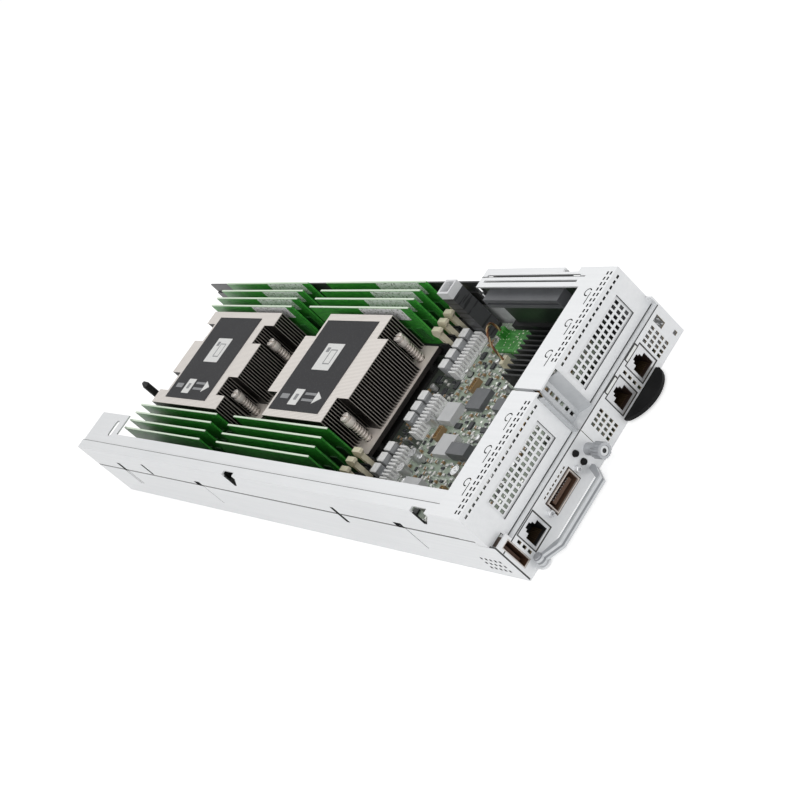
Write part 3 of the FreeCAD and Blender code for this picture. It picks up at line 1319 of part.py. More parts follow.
def pull_tab():
    """Flat sliding tab with a rounded finger end and a raised rim."""
    x = span(TAB_MIDDLE, TAB_WIDTH)
    root = REAR - TAB_SHANK
    tip = root - TAB_REACH
    arc = Part.Arc(V(x[0], root, TAB_LOW), V(TAB_MIDDLE, tip, TAB_LOW), V(x[1], root, TAB_LOW)).toShape()
    line = Part.LineSegment(V(x[1], root, TAB_LOW), V(x[0], root, TAB_LOW)).toShape()
    crown = Part.Face(Part.Wire([arc, line]))
    blade = box(x, (root, REAR + TAB_INSIDE), (TAB_LOW, TAB_LOW + TAB_THICK))
    return fused([blade, crown.extrude(V(0, 0, TAB_RIM))])


def tab_guides():
    """Two lipped guides on the floor that hold the tab down."""
    y = (REAR + 2 * MEDIA_POST_INSET, REAR + 2 * MEDIA_POST_INSET + GUIDE_LENGTH)
    lip_low = TAB_LOW + TAB_THICK + MOVE_GAP
    guides = []
    for side in (-1, 1):
        edge = TAB_MIDDLE + side * (TAB_WIDTH / 2 + MOVE_GAP)
        post = box(sorted((edge, edge + side * GUIDE)), y, (SHEET, lip_low + GUIDE_LIP_THICK))
        lip_x = sorted((edge - side * GUIDE_LIP, edge + side * GUIDE))
        lip = box(lip_x, y, (lip_low, lip_low + GUIDE_LIP_THICK))
        guides.append(fused([post, lip]))
    return Part.Compound(guides)


def midplane_connector():
    """Blind-mating plug on the front edge of the main board."""
    y = (FRONT - PLUG_INSET - PLUG[1], FRONT - PLUG_INSET)
    z = (BOARD_TOP, BOARD_TOP + PLUG[2])
    body = box(span(COOLER_X, PLUG[0]), y, z)
    slots = [box(span(x, PLUG_SLOT[0]), (y[1] - PLUG_SLOT[1], y[1]), span(sum(z) / 2, PLUG_SLOT[2]))
             for x in spread(PLUG_SLOT_COUNT, PLUG[0] / PLUG_SLOT_COUNT, COOLER_X)]
    return body.cut(slots)


def guide_post():
    """Tapered post at the front of the main board that lines the air baffle up."""
    y = FRONT - PLUG_INSET - PLUG[1] - GUIDE_POST_GAP - GUIDE_POST
    place = V(LEFT_INNER_SLOT + GUIDE_POST_SET, y, BOARD_TOP)
    stem_high = GUIDE_POST_TOP - GUIDE_POST_TIP - BOARD_TOP
    stem = rod(place, GUIDE_POST, stem_high, Z_AXIS)
    tip_place = place + Z_AXIS * stem_high
    return fused([stem, Part.makeCone(GUIDE_POST, GUIDE_POST / 2, GUIDE_POST_TIP, tip_place, Z_AXIS)])


LEFT_SIDE = (LEFT_INNER_SLOT, -1)
RIGHT_SIDE = (RIGHT_INNER_SLOT, 1)

NODES = {
    "tray_pan": tray_pan(),
    "side_rail_left": side_rail_left(),
    "side_rail_right": side_rail_right(),
    "io_plate_left": io_plate_left(),
    "io_plate_right": io_plate_right(),
    "riser_cage_left": riser_cage_left(),
    "riser_cage_right": riser_cage_right(),
    "slot_cover_left": slot_cover_left(),
    "slot_cover_right": slot_cover_right(),
    "centre_bracket": centre_bracket(),
    "motherboard": motherboard(),
    "media_board": media_board(),
    "standoffs": standoffs(),
    "socket_front": socket(FRONT_BANK),
    "socket_rear": socket(REAR_BANK),
    "processor_front": processor(FRONT_BANK),
    "processor_rear": processor(REAR_BANK),
    "heatsink_base_front": heatsink_base(FRONT_BANK),
    "heatsink_base_rear": heatsink_base(REAR_BANK),
    "heatsink_fins_front": heatsink_fins(FRONT_BANK),
    "heatsink_fins_rear": heatsink_fins(REAR_BANK),
    "heatsink_label_front": heatsink_label(FRONT_BANK),
    "heatsink_label_rear": heatsink_label(REAR_BANK),
    "heatsink_screws": heatsink_screws(),
    "heatsink_springs": heatsink_springs(),
    "memory_slots_left": memory_slots(*LEFT_SIDE),
    "memory_slots_right": memory_slots(*RIGHT_SIDE),
    "memory_modules_left": memory_modules(*LEFT_SIDE),
    "memory_modules_right": memory_modules(*RIGHT_SIDE),
    "latches_front_left": memory_latches(*LEFT_SIDE, FRONT_BANK),
    "latches_front_right": memory_latches(*RIGHT_SIDE, FRONT_BANK),
    "latches_rear_left": memory_latches(*LEFT_SIDE, REAR_BANK),
    "latches_rear_right": memory_latches(*RIGHT_SIDE, REAR_BANK),
    "inductors": inductors(),
    "transistor_coolers": transistor_coolers(),
    "capacitors": capacitors(),
    "chips": chips(),
    "chip_cooler": chip_cooler(),
    "daughter_board": daughter_board(),
    "wire_header": wire_header(),
    "wire_bundle": wire_bundle(),
    "baffle_post": baffle_post(),
    "riser_card": riser_card(),
    "riser_socket": riser_socket(),
    "riser_slot": riser_slot(),
    "network_jacks": network_jacks(),
    "light_pipes": light_pipes(),
    "usb_port": usb_port(),
    "video_port": video_port(),
    "button_upper": button(BUTTON_Z[1]),
    "button_lower": button(BUTTON_Z[0]),
    "button_switches": button_switches(),
    "thumbscrew": thumbscrew(),
    "thumbscrew_sleeve": thumbscrew_sleeve(),
    "pull_handle": pull_handle(),
    "handle_pin": handle_pin(),
    "pull_tab": pull_tab(),
    "tab_guides": tab_guides(),
    "midplane_connector": midplane_connector(),
    "guide_post": guide_post(),
}

os.makedirs("parts", exist_ok=True)
for name, shape in NODES.items():
    shape.exportStep("parts/" + name + ".step")
    print(name, len(shape.Solids), round(shape.Volume))
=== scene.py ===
"""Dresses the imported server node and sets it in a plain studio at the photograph's view."""
import logging
import math
import random
from contextlib import contextmanager
from dataclasses import dataclass, field
from enum import Enum
from functools import cached_property, partialmethod
from typing import Any, Callable, Dict, Iterator, List, Optional, Sequence, Tuple, Union

import bpy
from mathutils import Euler, Matrix, Vector


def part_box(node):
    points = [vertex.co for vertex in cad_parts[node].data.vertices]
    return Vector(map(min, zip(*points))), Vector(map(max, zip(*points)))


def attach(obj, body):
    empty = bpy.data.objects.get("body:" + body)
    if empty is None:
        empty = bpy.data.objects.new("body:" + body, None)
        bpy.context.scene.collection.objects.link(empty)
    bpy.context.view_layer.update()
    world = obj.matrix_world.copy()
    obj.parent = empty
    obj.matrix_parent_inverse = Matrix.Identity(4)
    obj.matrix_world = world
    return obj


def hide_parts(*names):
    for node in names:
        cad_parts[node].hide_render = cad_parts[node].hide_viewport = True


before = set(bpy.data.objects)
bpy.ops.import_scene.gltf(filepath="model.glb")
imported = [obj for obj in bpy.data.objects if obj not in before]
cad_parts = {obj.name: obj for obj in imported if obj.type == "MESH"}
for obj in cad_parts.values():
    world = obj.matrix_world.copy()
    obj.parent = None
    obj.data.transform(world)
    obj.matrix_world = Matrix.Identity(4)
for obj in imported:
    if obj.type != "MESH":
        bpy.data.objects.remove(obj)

LOG = logging.getLogger("server_node")
MM = 0.001
HAIR = 1e-6
UP = Vector((0.0, 0.0, 1.0))
REARWARD = Vector((0.0, -1.0, 0.0))
FAR = Vector((1.0, 1.0, 1.0))
WHITE = (1.0, 1.0, 1.0, 1.0)
Piece = bpy.types.Object
Look = bpy.types.Material
Key = Union[int, str]
Spot = Tuple[float, float]
Trio = Tuple[float, float, float]
Test = Callable[[Vector, Vector], bool]
shift = Matrix.Translation


def mm(x: float, y: float, z: float) -> Vector:
    """A point given in millimetres, in metres."""
    return Vector((x, y, z)) * MM


def paint(code: str) -> Tuple[float, float, float, float]:
    """Turn a written colour such as #aabbcc into linear light.

    Args:
        code: six hexadecimal digits after a hash sign.

    Returns:
        Red, green, blue and full cover.
    """
    shares = [int(code[i:i + 2], 16) / 255 for i in (1, 3, 5)]
    linear = [s / 12.92 if s < 0.04045 else ((s + 0.055) / 1.055) ** 2.4 for s in shares]
    return (*linear, 1.0)


class Term:
    """A shader socket that can stand in Python arithmetic, where a comparison gives a mask of one and nought."""

    def __init__(self, canvas: "Canvas", socket: bpy.types.NodeSocket) -> None:
        """Keep the canvas that draws the nodes and the socket itself."""
        self.canvas = canvas
        self.socket = socket

    def output(self, key: Key) -> "Term":
        """Another output of the same node."""
        return Term(self.canvas, self.socket.node.outputs[key])

    def math(self, operation: str, *others: Any) -> "Term":
        """Add a Math node on this term and others."""
        return self.canvas.node("ShaderNodeMath", {"operation": operation}, dict(enumerate((self, *others))))

    __add__ = __radd__ = partialmethod(math, "ADD")
    __sub__ = partialmethod(math, "SUBTRACT")
    __mul__ = __rmul__ = partialmethod(math, "MULTIPLY")
    __gt__ = partialmethod(math, "GREATER_THAN")
    __lt__ = partialmethod(math, "LESS_THAN")
    __abs__ = partialmethod(math, "ABSOLUTE")
    either = partialmethod(math, "MAXIMUM")

    def __rsub__(self, other: float) -> "Term":
        """Difference from a number."""
        return self.canvas.node("ShaderNodeMath", {"operation": "SUBTRACT"}, {0: other, 1: self})

    def from_beat(self, start: float, pitch: float) -> "Term":
        """Distance to the nearest of a row of evenly spaced places, in metres."""
        share = ((self - (start - pitch / 2)) * (1 / pitch)).math("FRACT")
        return abs(share - 0.5) * pitch


class Canvas:
    """The node tree of a material or a world and the ways to draw on it."""

    def __init__(self, owner: Union[Look, bpy.types.World]) -> None:
        """Open the owner's node tree and find its shader.

        Args:
            owner: the material or world to draw.
        """
        owner.use_nodes = True
        self.tree = owner.node_tree
        self.shader = next(node for node in self.tree.nodes if node.outputs)

    @cached_property
    def place(self) -> Term:
        """The object's own coordinates."""
        return self.node("ShaderNodeTexCoord", output="Object")

    def node(self, kind: str, settings: Optional[Dict[str, Any]] = None,
             inputs: Optional[Dict[Key, Any]] = None, output: Key = 0) -> Term:
        """Add any node.

        Args:
            kind: the node's type.
            settings: its options, set first.
            inputs: values or links of its sockets.
            output: the output to go on with.

        Returns:
            That output as a term.
        """
        made = self.tree.nodes.new(kind)
        for key, value in (settings or {}).items():
            setattr(made, key, value)
        for key, value in (inputs or {}).items():
            self.feed(made.inputs[key], value)
        return Term(self, made.outputs[output])

    def feed(self, socket: bpy.types.NodeSocket, value: Any) -> None:
        """Link a term to a socket, or set a plain value or a written colour on it.

        Args:
            socket: the input to set.
            value: term, written colour or plain value.
        """
        if isinstance(value, Term):
            self.tree.links.new(value.socket, socket)
        else:
            socket.default_value = paint(value) if isinstance(value, str) else value

    def axes(self) -> Tuple[Term, Term, Term]:
        """The object's own x, y and z, in metres."""
        split = self.node("ShaderNodeSeparateXYZ", inputs={0: self.place})
        return split, split.output(1), split.output(2)

    def within(self, low: Vector, high: Vector) -> Term:
        """One between two corners, in metres, and nought outside.

        Args:
            low: the lowest corner.
            high: the highest corner.

        Returns:
            The mask.
        """
        sides = [abs(axis - (start + end) / 2) < (end - start) / 2
                 for axis, start, end in zip(self.axes(), low, high)]
        return sides[0] * sides[1] * sides[2]

    def noise(self, scale: float, detail: float = 2.0, place: Optional[Term] = None) -> Term:
        """Soft cloud values from 0 to 1."""
        return self.node("ShaderNodeTexNoise",
                         inputs={"Vector": place or self.place, "Scale": scale, "Detail": detail})

    def streaks(self, x: float, y: float, z: float) -> Term:
        """Soft values from 0 to 1 with their own scale along each axis."""
        return self.noise(1.0, place=self.node("ShaderNodeMapping",
                                               inputs={"Vector": self.place, "Scale": (x, y, z)}))

    def mix(self, share: Any, first: Any, second: Any) -> Term:
        """Blend two colours by a share of the second."""
        return self.node("ShaderNodeMix", {"data_type": "RGBA"}, {0: share, 6: first, 7: second}, 2)

    def seen(self) -> Term:
        """One for rays that come from the camera or off a mirror."""
        rays = self.node("ShaderNodeLightPath")
        return rays.output("Is Camera Ray").either(rays.output("Is Glossy Ray"))

    def surface(self, colour: Any, roughness: Any, metallic: Any = 0.0, **constants: float) -> None:
        """Feed the shader.

        Args:
            colour: colour or term.
            roughness: number or term.
            metallic: number or term.
            constants: further sockets, with _ for a space in their names.
        """
        for key, value in {"Base Color": colour, "Roughness": roughness, "Metallic": metallic, **constants}.items():
            self.feed(self.shader.inputs[key.replace("_", " ")], value)

    def bump(self, height: Term, strength: float, depth: float = 0.1 * MM) -> None:
        """Raise the surface by a height term, with the depth in metres."""
        raised = self.node("ShaderNodeBump", inputs={"Strength": strength, "Distance": depth, "Height": height})
        self.feed(self.shader.inputs["Normal"], raised)


@dataclass(frozen=True)
class Shade:
    """A box in metres in which faces are painted in a dull tone of their own, as painted shade."""

    low: Vector
    high: Vector
    tone: str = "#2c2d2e"


@dataclass(frozen=True)
class Finish:
    """A named look of a surface."""

    name: str

    def draw(self, canvas: Canvas) -> None:
        """Draw the finish on a new canvas.

        Args:
            canvas: the new material's canvas.
        """
        raise NotImplementedError(self.name)

    def make(self) -> Look:
        """Draw the finish as a material.

        Returns:
            The material.
        """
        look = bpy.data.materials.new(self.name)
        self.draw(Canvas(look))
        return look


@dataclass(frozen=True)
class SheetSteel(Finish):
    """Bright plated sheet with faint rolling lines along the tray, and painted shade within given boxes."""

    pale: str = "#f0f1f2"
    deep: str = "#dcdee0"
    roughness: float = 0.32
    metallic: float = 0.30
    shaded: Sequence[Shade] = ()

    def draw(self, canvas: Canvas) -> None:
        """Draw the sheet, with painted shade in a dull dark tone within the shaded boxes.

        Args:
            canvas: the new material's canvas.
        """
        rolling = canvas.streaks(480.0, 9.0, 480.0)
        cloud = canvas.noise(26.0, 3.0)
        colour = canvas.mix(rolling * 0.5 + cloud * 0.5, self.deep, self.pale)
        metallic = self.metallic
        # painted shade: each shaded box paints its faces in the box's tone and takes the metal's sheen off
        for shade in self.shaded:
            bright = 1 - canvas.within(shade.low, shade.high)
            colour = canvas.mix(bright, shade.tone, colour)
            metallic = bright * metallic
        canvas.surface(colour, self.roughness + cloud * 0.14, metallic)
        canvas.bump(rolling * 0.7 + cloud * 0.3, 0.06, 0.2 * MM)


@dataclass(frozen=True)
class Grained(Finish):
    """Even stuff of small parts with a fine grain and a clouded tone."""

    pale: str
    deep: str
    roughness: float = 0.45
    metallic: float = 0.0
    gloss: float = 0.5
    clouds: float = 90.0
    grain: float = 1600.0
    spread: float = 0.15
    relief: float = 0.18

    def draw(self, canvas: Canvas) -> None:
        """Cloud the tone and raise the grain.

        Args:
            canvas: the new material's canvas.
        """
        grain = canvas.noise(self.grain)
        canvas.surface(canvas.mix(canvas.noise(self.clouds, 3.0), self.deep, self.pale),
                       self.roughness + grain * self.spread, self.metallic, Specular_IOR_Level=self.gloss)
        canvas.bump(grain, self.relief)


class Moulding(Grained):
    """Moulded plastic with a spark-eroded grain."""


@dataclass(frozen=True)
class TurnedMetal(Grained):
    """Bare or plated metal with a coarser and shallower grain."""

    clouds: float = 140.0
    grain: float = 900.0
    spread: float = 0.18
    relief: float = 0.08


@dataclass(frozen=True)
class CappedBody(Finish):
    """Dark body with a pale top above a given height."""

    cap: float
    pale: str = "#e3e4e6"
    dark: str = "#4a4b4d"
    rib: str = "#2a2b2c"

    def draw(self, canvas: Canvas) -> None:
        """Draw the ribbed body and its top.

        Args:
            canvas: the new material's canvas.
        """
        _, _, z = canvas.axes()
        ribs = canvas.streaks(40.0, 40.0, 420.0)
        body = canvas.mix(ribs > 0.55, self.dark, self.rib)
        canvas.surface(canvas.mix(z > self.cap, body, self.pale), 0.4 + canvas.noise(90.0, 3.0) * 0.15)
        canvas.bump(ribs, 0.12, 0.2 * MM)


@dataclass(frozen=True)
class ChipMoulding(Finish):
    """Chip packages: dark ones, and pale ones within given distances of given places, in mm."""

    pale_at: Sequence[Trio]
    pale: str = "#d7d8d9"
    dark: str = "#77797c"
    deep: str = "#5a5c5f"

    def draw(self, canvas: Canvas) -> None:
        """Draw the packages by their places.

        Args:
            canvas: the new material's canvas.
        """
        x, y, _ = canvas.axes()
        cloud = canvas.noise(120.0, 3.0)
        grain = canvas.noise(1600.0)
        colour = canvas.mix(cloud, self.dark, self.deep)
        for at_x, at_y, reach in self.pale_at:
            near = (abs(x - at_x * MM) < reach * MM) * (abs(y - at_y * MM) < reach * MM)
            colour = canvas.mix(near * (0.75 + cloud * 0.25), colour, self.pale)
        canvas.surface(colour, 0.4 + grain * 0.15)
        canvas.bump(grain, 0.15)


@dataclass(frozen=True)
class BoardMask(Finish):
    """Printed board: lacquer over copper runs, with plated pads, and painted shade within given boxes."""

    lacquer: str
    run: str
    pad: str
    cell: float = 300.0
    pads: float = 0.62
    shaded: Sequence[Shade] = ()

    def draw(self, canvas: Canvas) -> None:
        """Draw runs and pads, with painted shade in a darker tone within the shaded boxes.

        Args:
            canvas: the new material's canvas.
        """
        cells = canvas.node("ShaderNodeTexVoronoi", {"distance": "CHEBYCHEV"},
                            {"Vector": canvas.place, "Scale": self.cell, "Randomness": 0.8})
        chance = canvas.node("ShaderNodeSeparateColor", inputs={0: cells.output(1)})
        land = (chance > self.pads) * (cells < 0.22)
        along = canvas.streaks(900.0, 60.0, 60.0)
        across = canvas.streaks(60.0, 900.0, 60.0)
        choose = canvas.noise(45.0) > 0.5
        wire = choose * (along > 0.58) + (1 - choose) * (across > 0.58)
        colour = canvas.mix(land, canvas.mix(wire, self.lacquer, self.run), self.pad)
        # painted shade: the board is darkened within each shaded box
        for shade in self.shaded:
            colour = canvas.mix(canvas.within(shade.low, shade.high) * 0.85, colour, shade.tone)
        canvas.surface(colour, 0.42 - land * 0.12, land * 0.6)
        canvas.bump(wire * 0.4 + land, 0.25, 0.05 * MM)


@dataclass(frozen=True)
class ModuleMask(Finish):
    """Memory module: green lacquer, dark chips on both faces and a pale cut edge at the top."""

    start: float
    lacquer: str
    dark: str
    chip: str
    pitch: float = 7.62 * MM
    face: float = 0.72 * MM
    top: float = 55.4 * MM
    edge: str = "#e2f2dc"

    def draw(self, canvas: Canvas) -> None:
        """Draw chips beyond the board's faces and the edge above its top.

        Args:
            canvas: the new material's canvas.
        """
        x, _, z = canvas.axes()
        runs = canvas.streaks(80.0, 160.0, 1500.0)
        on_chip = x.from_beat(self.start, self.pitch) > self.face
        colour = canvas.mix(on_chip, canvas.mix(runs > 0.5, self.lacquer, self.dark), self.chip)
        canvas.surface(canvas.mix(z > self.top, colour, self.edge), 0.38 + on_chip * 0.14)
        canvas.bump(runs, 0.1, 0.05 * MM)


@dataclass(frozen=True)
class FinStack(Finish):
    """Thin cooler fins: painted near-black as painted shade in their depth, bright on their cut edges and on the
    folded top.
    """

    centre: float
    half: float
    top: float
    start: float
    pitch: float
    notch: float = 14.5 * MM
    rim: float = 0.4 * MM
    gap: float = 0.28 * MM
    fin_shade: str = "#120f0d"
    cut: str = "#a8a29c"
    fold: str = "#e6e0da"
    groove: str = "#cbc5bf"

    def draw(self, canvas: Canvas) -> None:
        """Draw plates, cut edges and the grooved top.

        Args:
            canvas: the new material's canvas.
        """
        x, y, z = canvas.axes()
        on_top = z > self.top - self.rim
        out = abs(y - self.centre)
        on_cut = (out > self.half - self.rim).either(abs(out - (self.half - self.notch)) < self.rim)
        line = x.from_beat(self.start, self.pitch / 2) < self.gap
        # painted shade: the fin plates are near-black, and only their cut edges keep the metal's pale tone
        plate = canvas.mix(on_cut, self.fin_shade, self.cut)
        colour = canvas.mix(on_top, plate, canvas.mix(line, self.fold, self.groove))
        canvas.surface(colour, 0.34 + canvas.noise(120.0, 3.0) * 0.15, 0.35)
        canvas.bump(on_top * (1 - line), 0.4, 0.2 * MM)


@dataclass(frozen=True)
class PrintedFilm(Finish):
    """Film label with an even dark or pale tone and fine specks."""

    tone: str
    speck: str
    roughness: float = 0.4
    scale: float = 700.0
    cover: float = 0.62
    gloss: float = 0.3

    def draw(self, canvas: Canvas) -> None:
        """Draw the tone and its specks.

        Args:
            canvas: the new material's canvas.
        """
        fleck = canvas.noise(self.scale, 1.0)
        cloud = canvas.noise(60.0)
        canvas.surface(canvas.mix((fleck > self.cover) * 0.8, self.tone, self.speck),
                       self.roughness + cloud * 0.12, Specular_IOR_Level=self.gloss)
        canvas.bump(cloud, 0.08, 0.2 * MM)


@dataclass(frozen=True)
class PortMetal(Finish):
    """Port shell: a bright rim in front and, behind a given depth, a dark inside that is partly the moulding's own
    tone and partly painted shade.
    """

    depth: float
    rim: str = "#d6d7d9"
    inside: str = "#26170f"
    inside_left: str = "#121213"

    def draw(self, canvas: Canvas) -> None:
        """Draw the rim and the inside.

        Args:
            canvas: the new material's canvas.
        """
        x, y, _ = canvas.axes()
        # painted shade: every face deeper than the given depth takes the dark inside tone, on the metal shell as well
        # as the moulding
        within = y > self.depth
        cloud = canvas.noise(300.0)
        inside = canvas.mix(x > 0.0, self.inside_left, self.inside)
        canvas.surface(canvas.mix(within, self.rim, inside),
                       0.28 + within * 0.25 + cloud * 0.1, 0.6 - within * 0.6)
        canvas.bump(cloud, 0.08)


@dataclass(frozen=True)
class CanMetal(Finish):
    """Aluminium can of a capacitor with a scored top."""

    top: float
    pale: str = "#dcdddd"
    scored: str = "#8e9092"
    worn: str = "#b5b6b6"

    def draw(self, canvas: Canvas) -> None:
        """Draw the can and its top.

        Args:
            canvas: the new material's canvas.
        """
        _, _, z = canvas.axes()
        cloud = canvas.noise(160.0, 3.0)
        score = canvas.streaks(700.0, 700.0, 1.0) > 0.56
        colour = canvas.mix((z > self.top) * score, self.pale, self.scored)
        canvas.surface(canvas.mix(cloud * 0.4, colour, self.worn), 0.25 + cloud * 0.15, 0.7)
        canvas.bump(cloud, 0.06)


@dataclass(frozen=True)
class ClearPipe(Finish):
    """Clear moulded light pipe with a faint frost."""

    pale: str = "#fbfcfb"
    deep: str = "#eef2ee"

    def draw(self, canvas: Canvas) -> None:
        """Draw the frost under a clear coat.

        Args:
            canvas: the new material's canvas.
        """
        frost = canvas.noise(500.0)
        canvas.surface(canvas.mix(frost, self.pale, self.deep), 0.15 + frost * 0.15, Coat_Weight=0.4)
        canvas.bump(frost, 0.05)


WIRES: Sequence[Finish] = (Moulding("wire_skin_brown", "#6b4a30", "#4a3120", 0.35),
                           Moulding("wire_skin_beige", "#cdb98f", "#ab956a", 0.35),
                           Moulding("wire_skin_rust", "#96603a", "#744627", 0.35))
FINISHES: Sequence[Finish] = (
    # the centre bracket's and tab guides' sheet is a darker copy of the plated sheet, as painted shade
    SheetSteel("channel_sheet", "#d3d5d7", "#b2b5b8"),
    # painted shade on the handle: a dark band along the bar's outer face and a darker strip along its top, standing in
    # for the shadow of a fold
    SheetSteel("cast_handle", "#e0e2e4", "#c3c6c9", 0.38, 0.3,
               (Shade(mm(-200.0, -300.0, 4.7), mm(0.0, -200.0, 6.2), "#8e9195"),
                Shade(mm(-200.0, -289.2, 8.0), mm(0.0, -200.0, 9.0), "#a9acb0"))),
    # painted shade on the main board: a near-black zone on the coolers' side of the comb row, and a darker one under
    # the right cage, seen through its vents
    BoardMask("main_board_mask", "#97a593", "#b9c4b5", "#f2f4ee", 260.0, 0.40,
              (Shade(mm(-200.0, -101.0, 0.0), mm(200.0, 300.0, 50.0), "#262a27"),
               Shade(mm(-4.0, -300.0, 0.0), mm(200.0, -224.0, 50.0), "#161816"))),
    BoardMask("media_board_mask", "#24402a", "#2f5233", "#8f9488", 300.0, 0.7),
    BoardMask("green_board_mask", "#2f7f2b", "#57a34e", "#dde6cc", 420.0, 0.5),
    BoardMask("riser_board_mask", "#1c2a1e", "#28382a", "#5b6055", 420.0, 0.75),
    TurnedMetal("turned_steel", "#e8e9ea", "#c6c8cb", 0.3, 0.4),
    TurnedMetal("thumbscrew_metal", "#c3c5c8", "#96989c", 0.3, 0.6),
    TurnedMetal("cooler_screw_metal", "#fdf6f0", "#dcd3cb", 0.28, 0.2),
    TurnedMetal("spring_wire", "#f2e9e2", "#cfc4bb", 0.26, 0.25),
    TurnedMetal("processor_lid_metal", "#c7c9cb", "#a5a7aa", 0.3, 0.9),
    TurnedMetal("comb_metal", "#ffffff", "#f0f0f0", 0.35, 0.0),
    TurnedMetal("tinned_leads", "#d5d6d6", "#a2a4a5", 0.3, 0.8),
    TurnedMetal("gold_contacts", "#dcb865", "#b68f3f", 0.25, 0.9),
    # the jacks' contacts are gold metal painted dark brown, as painted shade inside the jack mouths
    TurnedMetal("jack_contacts", "#4a3922", "#33261a", 0.4, 0.5),
    TurnedMetal("black_anodised", "#2c2d2f", "#1b1c1d", 0.4, 0.5),
    CanMetal("capacitor_can", 16.7 * MM),
    # painted light and shade: the cooler base is pale only on its top, with its faces painted near-black as shadow,
    # and the inductors are white on top with darker sides
    CappedBody("cooler_base_metal", 19.5 * MM, "#e6dcd4", "#2e2a28", "#242120"),
    CappedBody("inductor_shell", 19.2 * MM, "#f8f8f8", "#a4a6a8", "#8b8d8f"),
    CappedBody("baffle_plastic", 50.0 * MM),
    ChipMoulding("chip_plastic", ((8.1, -118.2, 9.0), (-16.2, -134.6, 9.0), (-50.4, -128.8, 10.0),
                                  (-66.6, -194.5, 8.0))),
    Moulding("socket_plastic", "#2f2f2e", "#20201f"),
    Moulding("slot_plastic", "#2b2c2e", "#1d1e20"),
    Moulding("latch_plastic", "#f5eed6", "#e0d7ba", 0.4),
    Moulding("cream_plastic", "#e6dfc6", "#cfc7ab", 0.4),
    Moulding("dark_chip_plastic", "#3a3c3f", "#26282a", 0.4),
    Moulding("grey_plastic", "#606265", "#4d4f52"),
    Moulding("black_plastic", "#1b1c1d", "#101112", 0.4),
    Moulding("tab_plastic", "#101011", "#080809", 0.6, gloss=0.2),
    Moulding("tan_ceramic", "#a98f6c", "#866c4b", 0.5),
    Moulding("white_ceramic", "#e9e8e2", "#cfcec7", 0.4),
    PrintedFilm("dark_label_film", "#38383a", "#434345", 0.6, gloss=0.15),
    PrintedFilm("pale_print", "#e8e8e6", "#dcdcda"),
    PrintedFilm("grey_print", "#8d8e90", "#9b9c9e"),
    PrintedFilm("module_tag", "#ffffff", "#87947f", 0.5, 620.0, 0.58),
    PortMetal("jack_shell", -274.0 * MM),
    PortMetal("data_shell", -274.2 * MM, "#c9c3bd", inside_left="#4a3222"),
    PortMetal("video_shell", -274.4 * MM, "#d8cfc8", inside_left="#5c4536"),
    ClearPipe("clear_light_pipe"),
    *WIRES)


class Palette(Dict[str, Look]):
    """Drawn finishes by their names."""

    def draw(self, finish: Finish) -> str:
        """Draw a finish, keep it and tell its name."""
        self[finish.name] = finish.make()
        return finish.name


class Axis(Enum):
    """Direction in which a drum stands, as the turn from upright."""

    Y = (-math.pi / 2, 0.0, 0.0)
    Z = (0.0, 0.0, 0.0)


def link(name: str, data: bpy.types.ID) -> Piece:
    """Set new data into the scene as an object.

    Args:
        name: the object's name.
        data: its mesh, curve, camera or lamp.

    Returns:
        The object.
    """
    made = bpy.data.objects.new(name, data)
    bpy.context.scene.collection.objects.link(made)
    return made


def only(piece: Optional[Piece] = None) -> None:
    """Select one piece alone, or nothing.

    Args:
        piece: the piece to select and make active.
    """
    bpy.ops.object.select_all(action="DESELECT")
    if piece is not None:
        piece.select_set(True)
        bpy.context.view_layer.objects.active = piece


def wear(piece: Piece, *looks: Look) -> None:
    """Give a piece these materials in place of any others.

    Args:
        piece: any mesh object.
        looks: its materials, slot by slot.
    """
    piece.data.materials.clear()
    for look in looks:
        piece.data.materials.append(look)


def settle(name: str) -> Piece:
    """Name the new primitive and put its place into its mesh.

    Args:
        name: the piece's name.

    Returns:
        The primitive.
    """
    piece = bpy.context.object
    piece.name = piece.data.name = name
    bpy.ops.object.transform_apply(location=True, rotation=True, scale=True)
    return piece


def block(name: str, low: Sequence[float], high: Sequence[float]) -> Piece:
    """Add a cube between two corners.

    Args:
        name: the piece's name.
        low: lowest corner in metres.
        high: highest corner in metres.

    Returns:
        The new object.
    """
    only()
    low, high = Vector(low), Vector(high)
    bpy.ops.mesh.primitive_cube_add(size=1.0, location=(low + high) / 2, scale=high - low)
    return settle(name)


def drum(name: str, foot: Sequence[float], radius: float, height: float, axis: Axis = Axis.Z,
         sides: int = 24) -> Piece:
    """Add a cylinder.

    Args:
        name: the piece's name.
        foot: centre of its first end in metres.
        radius: its radius.
        height: its length along the axis.
        axis: the way it stands.
        sides: number of side faces.

    Returns:
        The new object.
    """
    only()
    turn = Euler(axis.value)
    middle = Vector(foot) + turn.to_matrix() @ Vector((0.0, 0.0, height / 2))
    bpy.ops.mesh.primitive_cylinder_add(vertices=sides, radius=radius, depth=height, location=middle, rotation=turn)
    return settle(name)


@contextmanager
def picked(piece: Piece, kind: str, test: Test) -> Iterator[None]:
    """Edit a piece with those faces or edges selected that pass a test.

    Args:
        piece: the piece to edit.
        kind: FACE or EDGE.
        test: takes a face's centre and normal, or an edge's two ends.

    Yields:
        Nothing, while the piece is in edit mode.
    """
    only(piece)
    bpy.ops.object.mode_set(mode="EDIT")
    bpy.ops.mesh.select_mode(type=kind)
    bpy.ops.mesh.select_all(action="DESELECT")
    bpy.ops.object.mode_set(mode="OBJECT")
    mesh = piece.data
    if kind == "FACE":
        for face in mesh.polygons:
            face.select = test(face.center, face.normal)
    else:
        for edge in mesh.edges:
            edge.select = test(*(mesh.vertices[end].co for end in edge.vertices))
    bpy.ops.object.mode_set(mode="EDIT")
    yield
    bpy.ops.object.mode_set(mode="OBJECT")


